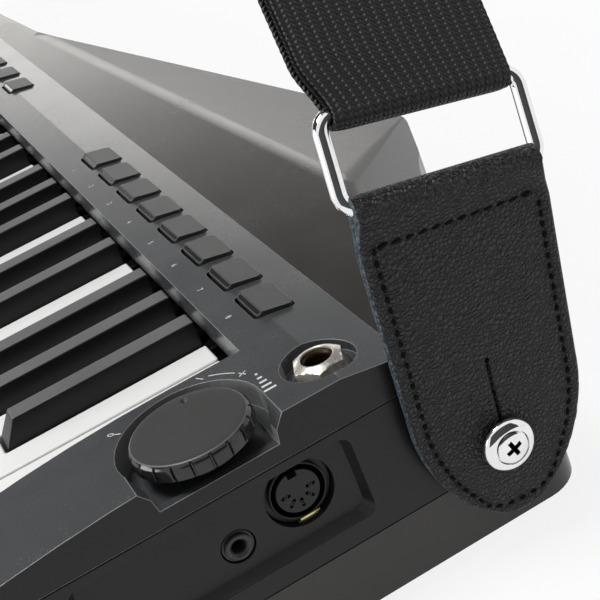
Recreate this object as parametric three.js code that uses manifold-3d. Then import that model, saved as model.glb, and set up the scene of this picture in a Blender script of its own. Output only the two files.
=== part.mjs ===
// A keytar with thirty-seven mini keys, in millimetres. X runs along the keyboard from the neck to the
// tail, Y from the front of the keys to the back of the instrument, and Z up. It lies on its back.
// The pieces are placed from the tail end face, the middle of the round socket and the floor, and the
// whole is then moved so that its origin is the middle of its footprint.
import * as THREE from 'three';
import { mergeVertices } from 'three/addons/utils/BufferGeometryUtils.js';
import Module from 'manifold-3d';

const wasm = await Module();
wasm.setup();

// General clearances and cuts
const overrun = 4;
const seatGap = 0.3;
const weldGap = 0.0001;
const halfTurn = Math.PI;
const fullTurn = 2 * Math.PI;

// Key set
const whiteCount = 22;
const whitesPerOctave = 7;
const whitePitch = 19.6;
const keyGap = 1;
const whiteLength = 95.5;
const whiteSkirt = 13;
const blackLength = 62;
const blackBaseWidth = 9.4;
const blackTopWidth = 7.3;
const blackFrontSlope = 5;
const blackAboveWhite = 7.3;
const blackSideGap = 0.9;
const blackSpread = 2.6;
const tongueWidth = 6;
const tongueThickness = 6;
const tongueDrop = 3.5;
const pivotBehindKeys = 22.5;
const pivotTail = 3;

// Heights, from the floor up
const footHeight = 4;
const slabThickness = 18.7;
const caseHeight = 32.65;
const panelHeight = 12.25;
const whiteBelowPanel = 10.7;

// Plan of the keyboard module
const panelBack = 37.5;
const rearFacetDepth = 17.8;
const rearFacetDrop = 3.1;
const frontFacetDepth = 13;
const frontRail = 7.5;
const noseLength = 85;
const noseDrop = 8.1;
const endBlock = 37.5;
const bayClearance = 1.95;
const lowBlock = 32.4;
const panelWall = 2.5;
const baySkirtWall = 2;
const baySkirtClearance = 1.2;
const keyBehindBay = 2.2;
const keyFrontGap = 1.5;

// Lower case
const caseWall = 3;
const pivotRibWall = 2;
const stopRailHeight = 6;
const stopRailDepth = 9;
const stopRailSetback = 20;

// Pads and function buttons on the bend of the panel
const padCount = 8;
const padPitch = 23.87;
const padWidth = 17.4;
const padFromEnd = 48.3;
const padFrontReach = 2.6;
const padCrestSetback = 0.8;
const padBackReach = 8.3;
const padCrestHeight = 1.3;
const padFrontHeight = 0.25;
const padBackHeight = 0.9;
const padGap = 0.45;
const padFrontGap = 1;
const padFlange = 1;
const padFlangeThickness = 1.2;
const functionCount = 3;
const functionGap = 125.2;
const functionPitch = 28.5;

// Display window in the panel, left of the function buttons
const windowLength = 46;
const windowDepth = 15;
const windowSink = 0.8;
const windowGap = 13;
const windowForward = 1;

// Volume knob and its pocket, open to the tail end
const knobRadius = 16.4;
const knobFromEnd = 14.6;
const knobForward = 16.6;
const knobAbovePanel = 0.9;
const knobThickness = 4.8;
const knobChamfer = 1.1;
const knobStemRadius = 3;
const knobStemGap = 0.4;
const knobFlutes = 20;
const fluteWidth = 0.7;
const fluteDepth = 0.6;
const dimpleRadius = 1.1;
const dimpleDepth = 0.6;
const dimpleInset = 4.2;
const dimpleTurn = 2.86;
const pocketRadius = 20;
const pocketDepth = 7.6;
const pocketFloor = 2.5;
const mouthDraft = 3.6;
const mouthKinkDepth = 3.7;
const mouthKinkDraft = 2.9;
const bowlDrop = 1.1;
const ledgeDepth = 2.6;

// Output jack in its round recess
const jackFromEnd = 14.4;
const jackBack = 19.8;
const jackRecessRadius = 10.1;
const jackRecessDepth = 4.6;
const jackSleeveRadius = 4.6;
const jackBoreRadius = 3.25;
const jackBodyRadius = 7.5;
const jackBodyDepth = 26;
const jackSleeveRise = 4.6;
const jackNutRadius = 7;
const jackNutHeight = 4.2;
const jackWasherRadius = 8;
const jackWasherHeight = 0.8;
const jackNutSides = 6;

// Side recess in the tail end with the two sockets
const recessBack = 16.2;
const recessLength = 78;
const recessTopGap = 2.6;
const recessHeight = 24.2;
const recessDepth = 3;
const recessDraft = 1.8;
const recessCorner = 3.2;
const recessWall = 3;
const socketHeight = 20.5;
const socketHoleRadius = 9.5;
const socketSetback = 0.9;
const socketRadius = 7.9;
const socketFlangeGap = 0.3;
const socketFlangeSetback = 1.5;
const socketFlangeThickness = 0.9;
const flangeNotchWidth = 7.8;
const flangeNotchRim = 0.2;
const socketGrooveOuter = 7.4;
const socketGrooveInner = 5.95;
const socketGrooveDepth = 2.4;
const socketPinCircle = 3.5;
const socketPinRadius = 0.8;
const socketPinDepth = 3;
const socketPinCount = 5;
const socketKeyWidth = 2.6;
const socketKeyDepth = 1.6;
const socketBlockDepth = 12;
const auxForward = 19.4;
const auxBelowSocket = 4.8;
const auxHoleRadius = 4.7;
const auxRingRadius = 4.4;
const auxCollarRadius = 3.6;
const auxBoreRadius = 1.8;
const auxBoreDepth = 9;
const auxBodyDepth = 12;
const auxCollarRise = 0.5;
const boardThickness = 1.6;
const boardMargin = 11;

// Body with its neck and wing
const bodyRise = 56;
const frontShelf = 18;
const frontBevelTop = 44;
const frontBevelBottom = 20;
const tailBack = 72;
const wingTipFromEnd = 203;
const wingTipBack = 134;
const wingTipHeight = 31;
const wingEndFromEnd = 168;
const wingEndBack = 126;
const wingWaistFromEnd = 110;
const wingWaistBack = 87;
const ridgeMeetFromEnd = 120;
const ridgeMeetBack = 76.3;
const ridgeStartFromEnd = 470;
const ridgeStartBack = 56.7;
const neckEndFromEnd = 816;
const neckEndBack = 38.5;
const neckEndFront = -24;
const neckRootFromEnd = 560;
const neckRootFront = -34;
const shoulderFromEnd = 522;
const shoulderReach = 38;
const headSlant = 12;
const neckLift = 20;
const neckLiftStart = 520;
const neckLiftRun = 60;
const tailCorner = 14;
const tipCorner = 7;
const bottomFillet = 6;
const neckRound = 13;
const stripLength = 190;
const stripWidth = 18;
const stripDepth = 1;
const stripFromNeckEnd = 40;

// Feet and battery cover seam on the back
const footRadius = 9;
const footInset = 34;
const batteryLength = 118;
const batteryWidth = 62;
const batterySeam = 0.6;
const batterySeamDepth = 1;
const batteryFromEnd = 250;
const batteryForward = 24;
const batteryCorner = 5;
const latchLength = 20;
const latchWidth = 9;
const latchDepth = 1;

// Strap buttons
const buttonHeadRadius = 7.3;
const buttonNeckRadius = 4.4;
const buttonHeight = 10.4;
const buttonHeadRim = 1.6;
const buttonDome = 2.2;
const buttonDomeShares = [[0.8, 0.6], [0.42, 1]];
const buttonBaseHeight = 1.6;
const buttonBaseRadius = 6.6;
const buttonBack = 52.2;
const buttonRise = 31.7;
const neckButtonBack = 7;
const neckButtonRise = 42;

// Leather ends of the strap
const leatherThickness = 3.8;
const leatherWidth = 51;
const leatherTipWidth = 47.8;
const leatherLength = 93.1;
const leatherBelowButton = 21.5;
const leatherCurveShares = [0.142, -0.286, 0.48];
const leatherLean = 0.087;
const leatherHoleGap = 0.4;
const leatherOffset = 0.8;
const hemRadius = 3.9;
const hemShoulder = 7;

// Ring between the tail leather and the webbing
const ringWidth = 58.6;
const ringHeight = 28;
const ringWire = 2;
const ringCorner = 4.7;
const ringSlide = 1.6;
const ringTurn = 0.144;
const ringTilt = 0.426;
const ringWireSides = 10;

// Webbing
const webWidth = 47;
const webThickness = 2;
const webLeanShares = [-0.4, 0.06, 1];
const webSlide = 0.5;
const webOpen = 26;
const webFold = 52;
const webLayerGap = 0.5;
const webReach = 425;
const webBarSteps = 6;
const webSteps = 32;
const sewnLength = 30;

// Derived heights
const slabTop = footHeight + slabThickness;
const caseBottom = slabTop + seatGap;
const caseTop = caseBottom + caseHeight;
const panelBottom = caseTop + seatGap;
const panelTop = panelBottom + panelHeight;
const whiteTop = panelTop - whiteBelowPanel;
const whiteBottom = whiteTop - whiteSkirt;
const blackTop = whiteTop + blackAboveWhite;
const tongueTop = whiteTop - tongueDrop;
const tongueBottom = tongueTop - tongueThickness;
const bodyTop = footHeight + bodyRise;

// Derived plan lines
const bendLine = panelBack - rearFacetDepth;
const bayBack = bendLine - frontFacetDepth;
const bayFront = bayBack - keyBehindBay - whiteLength - keyFrontGap;
const panelFront = bayFront - frontRail;
const bayWidth = whiteCount * whitePitch + 2 * bayClearance;
const bayRight = -endBlock;
const bayLeft = bayRight - bayWidth;
const moduleLength = endBlock + bayWidth + lowBlock;
const keyBack = bayBack - keyBehindBay;
const keyRight = bayRight - bayClearance;
const keyLeft = keyRight - whiteCount * whitePitch;
const pivotLine = keyBack + pivotBehindKeys;
const noseStart = panelFront + noseLength;

function toSolid(geometry) {
  const bare = geometry.index ? geometry.clone() : geometry;
  bare.deleteAttribute('normal');
  bare.deleteAttribute('uv');
  const merged = mergeVertices(bare, weldGap);
  const mesh = new wasm.Mesh({
    numProp: 3,
    vertProperties: new Float32Array(merged.attributes.position.array),
    triVerts: new Uint32Array(merged.index.array),
  });
  mesh.merge();
  return new wasm.Manifold(mesh);
}

function toGeometry(solid) {
  const mesh = solid.getMesh();
  const geometry = new THREE.BufferGeometry();
  geometry.setAttribute('position', new THREE.BufferAttribute(mesh.vertProperties, 3));
  geometry.setIndex(new THREE.BufferAttribute(mesh.triVerts, 1));
  return geometry;
}

function placed(solid, matrix) {
  const geometry = toGeometry(solid);
  geometry.applyMatrix4(matrix);
  return toSolid(geometry);
}

function unite(solids) {
  return solids.reduce((sum, solid) => sum.add(solid));
}

function cutAll(solid, cutters) {
  return cutters.reduce((rest, cutter) => rest.subtract(cutter), solid);
}

// A box given by its lowest and highest corners
function box(low, high) {
  const size = high.map((value, axis) => value - low[axis]);
  const geometry = new THREE.BoxGeometry(...size);
  geometry.translate(...low.map((value, axis) => value + size[axis] / 2));
  return toSolid(geometry);
}

// An outline in plan, raised between two heights
function planPrism(shape, low, high, curveSegments = 6) {
  const geometry = new THREE.ExtrudeGeometry(shape, { depth: high - low, bevelEnabled: false, curveSegments });
  geometry.translate(0, 0, low);
  return toSolid(geometry);
}

// A side view of (y, z) points, run along X between two places
function sidePrism(points, left, right) {
  const shape = new THREE.Shape(points.map(([y, z]) => new THREE.Vector2(y, z)));
  const geometry = new THREE.ExtrudeGeometry(shape, { depth: right - left, bevelEnabled: false });
  geometry.applyMatrix4(new THREE.Matrix4().set(0, 0, 1, left, 1, 0, 0, 0, 0, 1, 0, 0, 0, 0, 0, 1));
  return toSolid(geometry);
}

// A front view of (x, z) points, run along Y between two places
function frontPrism(points, front, back) {
  const shape = new THREE.Shape(points.map(([x, z]) => new THREE.Vector2(x, z)));
  const geometry = new THREE.ExtrudeGeometry(shape, { depth: back - front, bevelEnabled: false });
  geometry.applyMatrix4(new THREE.Matrix4().set(1, 0, 0, 0, 0, 0, -1, back, 0, 1, 0, 0, 0, 0, 0, 1));
  return toSolid(geometry);
}

// A turned piece from (radius, height) points that start and end on its axis
function turned(points, sides) {
  const profile = points.map(([radius, height]) => new THREE.Vector2(radius, height));
  const geometry = new THREE.LatheGeometry(profile, sides);
  geometry.rotateX(halfTurn / 2);
  return toSolid(geometry);
}

function disc(radius, low, high, sides = 24) {
  return turned([[0, low], [radius, low], [radius, high], [0, high]], sides);
}

// A block whose top is smaller than its base, each given as left, right, front and back
function taperedBlock(base, crown, low, high) {
  const corners = ([left, right, front, back], z) => [left, front, z, right, front, z, right, back, z, left, back, z];
  const geometry = new THREE.BufferGeometry();
  const positions = new Float32Array([...corners(base, low), ...corners(crown, high)]);
  geometry.setAttribute('position', new THREE.BufferAttribute(positions, 3));
  geometry.setIndex([
    0, 2, 1, 0, 3, 2, 4, 5, 6, 4, 6, 7, 0, 1, 5, 0, 5, 4, 1, 2, 6, 1, 6, 5, 2, 3, 7, 2, 7, 6, 3, 0, 4, 3, 4, 7,
  ]);
  return toSolid(geometry);
}

// A cutter that takes away all above the plane through three points
function abovePlane(first, second, third, reach) {
  const origin = new THREE.Vector3(...first);
  const along = new THREE.Vector3(...second).sub(origin).normalize();
  const up = new THREE.Vector3(...third).sub(origin).cross(along).normalize();
  if (up.z < 0) up.negate();
  const side = new THREE.Vector3().crossVectors(up, along);
  const geometry = new THREE.BoxGeometry(2 * reach, 2 * reach, reach);
  geometry.translate(0, 0, reach / 2);
  geometry.applyMatrix4(new THREE.Matrix4().makeBasis(along, side, up).setPosition(origin));
  return toSolid(geometry);
}

// A cutter that rounds the edge from one plan point to the next, below or above it, with the solid on its left
function edgeRound(from, to, height, radius, upward) {
  const start = new THREE.Vector2(...from);
  const along = new THREE.Vector2(...to).sub(start);
  const length = along.length();
  along.normalize();
  const inward = new THREE.Vector2(-along.y, along.x);
  const turn = upward ? 1 : -1;
  const shape = new THREE.Shape();
  shape.moveTo(-radius, turn * radius);
  shape.lineTo(-radius, -turn * radius);
  shape.lineTo(0, -turn * radius);
  shape.absarc(radius, -turn * radius, radius, halfTurn, turn * halfTurn / 2, upward);
  shape.lineTo(radius, turn * radius);
  shape.closePath();
  const geometry = new THREE.ExtrudeGeometry(shape, {
    depth: length + 2 * overrun, bevelEnabled: false, curveSegments: 5,
  });
  const basis = new THREE.Matrix4().makeBasis(
    new THREE.Vector3(inward.x, inward.y, 0),
    new THREE.Vector3(0, 0, 1),
    new THREE.Vector3(along.x, along.y, 0),
  );
  const origin = start.clone().addScaledVector(along, -overrun);
  basis.setPosition(origin.x, origin.y, height);
  geometry.applyMatrix4(basis);
  if (basis.determinant() < 0) flipFaces(geometry);
  return toSolid(geometry);
}

function flipFaces(geometry) {
  const place = geometry.attributes.position;
  const count = geometry.index ? geometry.index.count : place.count;
  const order = [...Array(count).keys()].map((slot) => (geometry.index ? geometry.index.getX(slot) : slot));
  for (let slot = 0; slot < count; slot += 3) [order[slot], order[slot + 1]] = [order[slot + 1], order[slot]];
  geometry.setIndex(order);
}

// A polygon whose corners are rounded, each corner given as x, y and its radius
function roundedShape(corners) {
  const shape = new THREE.Shape();
  corners.forEach(([x, y, radius], slot) => {
    const before = corners[(slot + corners.length - 1) % corners.length];
    const after = corners[(slot + 1) % corners.length];
    const corner = new THREE.Vector2(x, y);
    const toBefore = new THREE.Vector2(before[0], before[1]).sub(corner).normalize();
    const toAfter = new THREE.Vector2(after[0], after[1]).sub(corner).normalize();
    const enter = corner.clone().addScaledVector(toBefore, radius);
    const leave = corner.clone().addScaledVector(toAfter, radius);
    if (slot === 0) shape.moveTo(enter.x, enter.y);
    else shape.lineTo(enter.x, enter.y);
    if (radius > 0) shape.quadraticCurveTo(x, y, leave.x, leave.y);
  });
  shape.closePath();
  return shape;
}

const model = new THREE.Group();

function material(color, roughness, metalness = 0) {
  return new THREE.MeshStandardMaterial({ color, roughness, metalness });
}

function addPiece(name, solid, look, parent = model) {
  const mesh = new THREE.Mesh(toGeometry(solid), look());
  mesh.name = name;
  parent.add(mesh);
  return mesh;
}

const looks = {
  bodyPaint: () => material(0x4a4643, 0.34),
  panel: () => material(0x3a3c3e, 0.42),
  casePlastic: () => material(0x2a2a2b, 0.5),
  whiteKey: () => material(0xf2f2ee, 0.28),
  blackKey: () => material(0x1c1d20, 0.4),
  pad: () => material(0x35373a, 0.5),
  knob: () => material(0x2c2d2f, 0.45),
  chrome: () => material(0xd8dadc, 0.12, 1),
  socket: () => material(0x1d1d1e, 0.45),
  leather: () => material(0x1f2022, 0.6),
  webbing: () => material(0x17181a, 0.85),
};

// Keys
const whiteLetters = ['c', 'd', 'e', 'f', 'g', 'a', 'b'];
const blackAfterWhite = [1, 1, 0, 1, 1, 1, 0];
const blackLeanShares = [-0.75, 0.75, 0, -1, 0, 1, 0];
const blackLetters = ['c_sharp', 'd_sharp', '', 'f_sharp', 'g_sharp', 'a_sharp', ''];

function blackCentre(white) {
  const share = blackLeanShares[white % whitesPerOctave];
  return keyLeft + (white + 1) * whitePitch + share * blackSpread;
}

function hasBlackAfter(white) {
  return white >= 0 && white < whiteCount - 1 && blackAfterWhite[white % whitesPerOctave] === 1;
}

function tongue(centre) {
  const half = tongueWidth / 2;
  return box([centre - half, keyBack - overrun, tongueBottom], [centre + half, pivotLine + pivotTail, tongueTop]);
}

function whiteKey(white) {
  const left = keyLeft + white * whitePitch + keyGap / 2;
  const right = left + whitePitch - keyGap;
  const notch = keyBack - blackLength - blackSideGap;
  const half = blackBaseWidth / 2 + blackSideGap;
  const rearLeft = hasBlackAfter(white - 1) ? blackCentre(white - 1) + half : left;
  const rearRight = hasBlackAfter(white) ? blackCentre(white) - half : right;
  const corners = [[left, keyBack - whiteLength], [right, keyBack - whiteLength]];
  if (rearRight < right) corners.push([right, notch], [rearRight, notch]);
  corners.push([rearRight, keyBack], [rearLeft, keyBack]);
  if (rearLeft > left) corners.push([rearLeft, notch], [left, notch]);
  const shape = new THREE.Shape(corners.map(([x, y]) => new THREE.Vector2(x, y)));
  return planPrism(shape, whiteBottom, whiteTop).add(tongue((rearLeft + rearRight) / 2));
}

function blackKey(white) {
  const centre = blackCentre(white);
  const base = blackBaseWidth / 2;
  const crown = blackTopWidth / 2;
  const front = keyBack - blackLength;
  const stem = box([centre - base, front, whiteBottom], [centre + base, keyBack, whiteTop]);
  const cap = taperedBlock(
    [centre - base, centre + base, front, keyBack],
    [centre - crown, centre + crown, front + blackFrontSlope, keyBack],
    whiteTop,
    blackTop,
  );
  return unite([stem, cap, tongue(centre)]);
}

for (let white = 0; white < whiteCount; white += 1) {
  const octave = 1 + Math.floor(white / whitesPerOctave);
  const degree = white % whitesPerOctave;
  addPiece(`key_${whiteLetters[degree]}_${octave}`, whiteKey(white), looks.whiteKey);
  if (hasBlackAfter(white)) addPiece(`key_${blackLetters[degree]}_${octave}`, blackKey(white), looks.blackKey);
}

// Top panel
function panelProfile(inset, bottom) {
  const front = panelFront + inset;
  const back = panelBack - inset;
  const top = panelTop - inset;
  const points = [[front, bottom]];
  const noseSteps = 6;
  for (let step = noseSteps; step >= 0; step -= 1) {
    const share = step / noseSteps;
    points.push([noseStart + (front - noseStart) * share, top - noseDrop * share * share]);
  }
  points.push([bendLine, top], [back, top - rearFacetDrop], [back, bottom]);
  return points;
}

function facetHeight(y) {
  return panelTop - rearFacetDrop * Math.max(0, (y - bendLine) / rearFacetDepth);
}

const padFront = bendLine - padFrontReach;
const padBack = bendLine + padBackReach;
const padUnder = facetHeight(padBack + padFlange) - panelWall - seatGap;

function padRights() {
  const pads = [...Array(padCount).keys()].map((slot) => -padFromEnd - slot * padPitch);
  const first = pads[padCount - 1] - padWidth - functionGap;
  const functions = [...Array(functionCount).keys()].map((slot) => first - slot * functionPitch);
  return { pads, functions };
}

function padHole(right) {
  return box(
    [right - padWidth - padGap, padFront - padFrontGap, padUnder - overrun],
    [right + padGap, padBack + padGap, panelTop + overrun],
  );
}

function moved(solid, x, y, z) {
  return placed(solid, new THREE.Matrix4().makeTranslation(x, y, z));
}

function pocketCutter() {
  const floor = panelTop - pocketDepth;
  const deep = floor - bowlDrop;
  const half = pocketRadius - mouthDraft;
  const kink = pocketRadius - mouthKinkDraft;
  const spread = pocketRadius + mouthKinkDraft * overrun / mouthKinkDepth;
  const lip = panelTop + overrun;
  const mouth = sidePrism([
    [-knobForward - half, floor],
    [-knobForward + half, floor],
    [-knobForward + kink, panelTop - mouthKinkDepth],
    [-knobForward + spread, lip],
    [-knobForward - spread, lip],
    [-knobForward - kink, panelTop - mouthKinkDepth],
  ], -knobFromEnd, overrun);
  const bowl = moved(disc(pocketRadius, floor, lip, 40), -knobFromEnd, -knobForward, 0);
  const well = moved(disc(pocketRadius, deep, floor + overrun, 40), -knobFromEnd, -knobForward, 0).intersect(
    box([-moduleLength, panelFront, deep], [-ledgeDepth, -knobForward + half, floor + overrun]),
  );
  const stem = moved(disc(knobStemRadius + knobStemGap, panelBottom - overrun, panelTop), -knobFromEnd, -knobForward, 0);
  return unite([bowl, mouth, well, stem]);
}

function jackCutter() {
  const floor = panelTop - jackRecessDepth;
  const well = disc(jackRecessRadius, floor, panelTop + overrun, 36);
  const bore = disc(jackSleeveRadius + seatGap, panelBottom - overrun, floor + overrun);
  const body = disc(jackBodyRadius + seatGap, panelBottom - overrun, floor - panelWall);
  return moved(unite([well, bore, body]), -jackFromEnd, jackBack, 0);
}

const { pads, functions } = padRights();
const windowRight = functions[functionCount - 1] - padWidth - windowGap;

function topPanel() {
  const shell = sidePrism(panelProfile(0, panelBottom), -moduleLength, 0);
  const hollow = sidePrism(panelProfile(panelWall, panelBottom - overrun), -moduleLength + panelWall, -endBlock);
  const skirtBottom = whiteTop + baySkirtClearance;
  const skirt = box(
    [bayLeft - baySkirtWall, bayFront - baySkirtWall, skirtBottom],
    [bayRight + baySkirtWall, bayBack + baySkirtWall, panelTop],
  ).intersect(sidePrism(panelProfile(0, panelBottom), -moduleLength, 0));
  const bay = box([bayLeft, bayFront, panelBottom - overrun], [bayRight, bayBack, panelTop + overrun]);
  const display = box(
    [windowRight - windowLength, bendLine - windowForward - windowDepth + padFrontReach, panelTop - windowSink],
    [windowRight, bendLine - windowForward, panelTop + overrun],
  );
  return cutAll(shell.subtract(hollow).add(skirt), [
    bay, pocketCutter(), jackCutter(), display, ...[...pads, ...functions].map(padHole),
  ]);
}

addPiece('top_panel', topPanel(), looks.panel);

// Pads and function buttons
function padButton(right) {
  const left = right - padWidth;
  const cap = sidePrism([
    [padFront, padUnder],
    [padBack, padUnder],
    [padBack, facetHeight(padBack) + padBackHeight],
    [bendLine - padCrestSetback, panelTop + padCrestHeight],
    [padFront, panelTop + padFrontHeight],
  ], left, right);
  const flange = box(
    [left - padFlange, padFront - padFlange, padUnder - padFlangeThickness],
    [right + padFlange, padBack + padFlange, padUnder],
  );
  return cap.add(flange);
}

pads.forEach((right, slot) => addPiece(`pad_button_${padCount - slot}`, padButton(right), looks.pad));
functions.forEach((right, slot) => addPiece(`function_button_${functionCount - slot}`, padButton(right), looks.pad));

// Volume knob
function volumeKnob() {
  const top = panelTop + knobAbovePanel;
  const bottom = top - knobThickness;
  const foot = panelTop - pocketDepth - pocketFloor;
  const cap = turned([
    [0, foot],
    [knobStemRadius, foot],
    [knobStemRadius, bottom],
    [knobRadius, bottom],
    [knobRadius, top - knobChamfer],
    [knobRadius - knobChamfer, top],
    [0, top],
  ], 40);
  const flutes = [...Array(knobFlutes).keys()].map(() => box(
    [knobRadius - fluteDepth, -fluteWidth / 2, bottom - overrun],
    [knobRadius + overrun, fluteWidth / 2, top - knobChamfer],
  )).map((flute, slot) => placed(flute, new THREE.Matrix4().makeRotationZ(slot * fullTurn / knobFlutes)));
  const reach = knobRadius - dimpleInset;
  const dimple = moved(
    disc(dimpleRadius, top - dimpleDepth, top + overrun, 12),
    reach * Math.cos(dimpleTurn),
    reach * Math.sin(dimpleTurn),
    0,
  );
  return cutAll(cap, [...flutes, dimple]);
}

const knob = addPiece('volume_knob', volumeKnob(), looks.knob);
knob.position.set(-knobFromEnd, -knobForward, 0);

// Output jack with its washer and nut
function outputJack() {
  const floor = panelTop - jackRecessDepth + seatGap;
  const sleeve = disc(jackSleeveRadius, panelBottom, floor + jackSleeveRise);
  const washer = disc(jackWasherRadius, floor, floor + jackWasherHeight);
  const nut = disc(jackNutRadius, floor + jackWasherHeight, floor + jackWasherHeight + jackNutHeight, jackNutSides);
  const body = disc(jackBodyRadius, panelBottom - jackBodyDepth, floor - panelWall - 2 * seatGap);
  const bore = disc(jackBoreRadius, panelBottom - jackBodyDepth + panelWall, floor + jackSleeveRise + overrun);
  return unite([sleeve, washer, nut, body]).subtract(bore);
}

addPiece('output_jack', outputJack(), looks.chrome).position.set(-jackFromEnd, jackBack, 0);

// Lower case
const recessTop = caseTop - recessTopGap;
const recessBottom = recessTop - recessHeight;
const socketCentre = caseBottom + socketHeight;
const recessFace = -recessDepth;

function recessCutter() {
  const outline = (inset) => roundedShape([
    [recessBack - recessLength + inset, recessBottom + inset, recessCorner],
    [recessBack - inset, recessBottom + inset, recessCorner],
    [recessBack - inset, recessTop - inset / 2, recessCorner],
    [recessBack - recessLength + inset, recessTop - inset / 2, recessCorner],
  ]).getPoints(4);
  const mouth = outline(-recessDraft * overrun / recessDepth);
  const floor = outline(recessDraft);
  const positions = [];
  const loop = (points, x) => points.forEach(({ x: y, y: z }) => positions.push(x, y, z));
  const clean = (points) => points.slice(0, points.length - 1);
  const outer = clean(mouth);
  const inner = clean(floor);
  loop(outer, overrun);
  loop(inner, recessFace);
  const count = outer.length;
  const order = [];
  THREE.ShapeUtils.triangulateShape(outer, []).forEach(([a, b, c]) => order.push(a, b, c));
  THREE.ShapeUtils.triangulateShape(inner, []).forEach(([a, b, c]) => order.push(count + a, count + c, count + b));
  for (let slot = 0; slot < count; slot += 1) {
    const next = (slot + 1) % count;
    order.push(slot, count + slot, count + next, slot, count + next, next);
  }
  const geometry = new THREE.BufferGeometry();
  geometry.setAttribute('position', new THREE.BufferAttribute(new Float32Array(positions), 3));
  geometry.setIndex(order);
  return toSolid(geometry);
}

function alongX(solid, y, z) {
  return placed(solid, new THREE.Matrix4().makeTranslation(0, y, z)
    .multiply(new THREE.Matrix4().makeRotationY(halfTurn / 2)));
}

function moduleCase() {
  const left = -moduleLength;
  const block = box([left, panelFront, caseBottom], [0, panelBack, caseTop]);
  const wallAtTail = recessDepth + recessWall;
  const hollow = box(
    [left + caseWall, panelFront + caseWall, caseBottom + caseWall],
    [-wallAtTail, panelBack - caseWall, caseTop + overrun],
  );
  const ribTop = tongueBottom - seatGap;
  const rib = box(
    [left, pivotLine - pivotRibWall / 2, caseBottom],
    [bayRight + baySkirtWall, pivotLine + pivotRibWall / 2, ribTop],
  );
  const railBack = keyBack - whiteLength + stopRailSetback;
  const rail = box(
    [left, railBack - stopRailDepth, caseBottom],
    [bayRight, railBack, caseBottom + caseWall + stopRailHeight],
  );
  const roundHole = alongX(disc(socketHoleRadius, -wallAtTail - overrun, overrun, 36), 0, socketCentre);
  const auxHole = alongX(disc(auxHoleRadius, -wallAtTail - overrun, overrun, 24), -auxForward, socketCentre - auxBelowSocket);
  return cutAll(unite([block.subtract(hollow), rib, rail]), [recessCutter(), roundHole, auxHole]);
}

addPiece('module_case', moduleCase(), looks.casePlastic);

// Round five-pin socket
function midiSocket() {
  const face = recessFace - socketSetback;
  const flangeRadius = socketHoleRadius - socketFlangeGap;
  const flangeFace = face - socketFlangeSetback;
  const flangeBack = flangeFace - socketFlangeThickness;
  const barrel = alongX(turned([
    [0, face - socketBlockDepth],
    [socketRadius, face - socketBlockDepth],
    [socketRadius, flangeBack],
    [flangeRadius, flangeBack],
    [flangeRadius, flangeFace],
    [socketRadius, flangeFace],
    [socketRadius, face],
    [socketGrooveOuter, face],
    [socketGrooveOuter, face - socketGrooveDepth],
    [socketGrooveInner, face - socketGrooveDepth],
    [socketGrooveInner, face],
    [0, face],
  ], 36), 0, socketCentre);
  const pins = [...Array(socketPinCount).keys()].map((slot) => {
    const turn = halfTurn + slot * halfTurn / (socketPinCount - 1);
    return alongX(
      disc(socketPinRadius, face - socketPinDepth, face + overrun, 8),
      socketPinCircle * Math.cos(turn),
      socketCentre + socketPinCircle * Math.sin(turn),
    );
  });
  const key = box(
    [face - socketGrooveDepth, -socketKeyWidth / 2, socketCentre + socketGrooveInner - socketKeyDepth],
    [face + overrun, socketKeyWidth / 2, socketCentre + socketGrooveInner + seatGap],
  );
  const notch = box(
    [flangeBack - overrun, -flangeNotchWidth / 2, socketCentre - flangeRadius - overrun],
    [flangeFace + overrun, flangeNotchWidth / 2, socketCentre - socketRadius - flangeNotchRim],
  );
  return cutAll(barrel, [...pins, key, notch]);
}

// Small jack socket
function auxJack() {
  const face = recessFace + seatGap;
  return alongX(turned([
    [0, face - auxBodyDepth],
    [auxRingRadius, face - auxBodyDepth],
    [auxRingRadius, face - auxCollarRise],
    [auxCollarRadius, face - auxCollarRise],
    [auxCollarRadius, face + auxCollarRise],
    [auxBoreRadius, face + auxCollarRise],
    [auxBoreRadius, face - auxBoreDepth],
    [0, face - auxBoreDepth],
  ], 24), -auxForward, socketCentre - auxBelowSocket);
}

// The board that carries both sockets, upright behind the end wall
function socketBoard() {
  const front = recessFace - socketSetback - socketBlockDepth;
  const board = box(
    [front - boardThickness, -auxForward - boardMargin, socketCentre - boardMargin],
    [front, boardMargin, socketCentre + boardMargin],
  );
  const low = recessFace + seatGap - auxBodyDepth;
  const jackFoot = alongX(
    disc(auxRingRadius, front, low, 24), -auxForward, socketCentre - auxBelowSocket,
  );
  return unite([board, midiSocket(), auxJack(), jackFoot]);
}

addPiece('socket_board', socketBoard(), looks.socket);

// Body
const bodyFront = panelFront - frontShelf;
const batteryLeft = -batteryFromEnd - batteryLength / 2;
const batteryFront = -batteryForward - batteryWidth / 2;

function batteryOutline(grow) {
  return roundedShape([
    [batteryLeft - grow, batteryFront - grow, batteryCorner],
    [batteryLeft + batteryLength + grow, batteryFront - grow, batteryCorner],
    [batteryLeft + batteryLength + grow, batteryFront + batteryWidth + grow, batteryCorner],
    [batteryLeft - grow, batteryFront + batteryWidth + grow, batteryCorner],
  ]);
}

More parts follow.
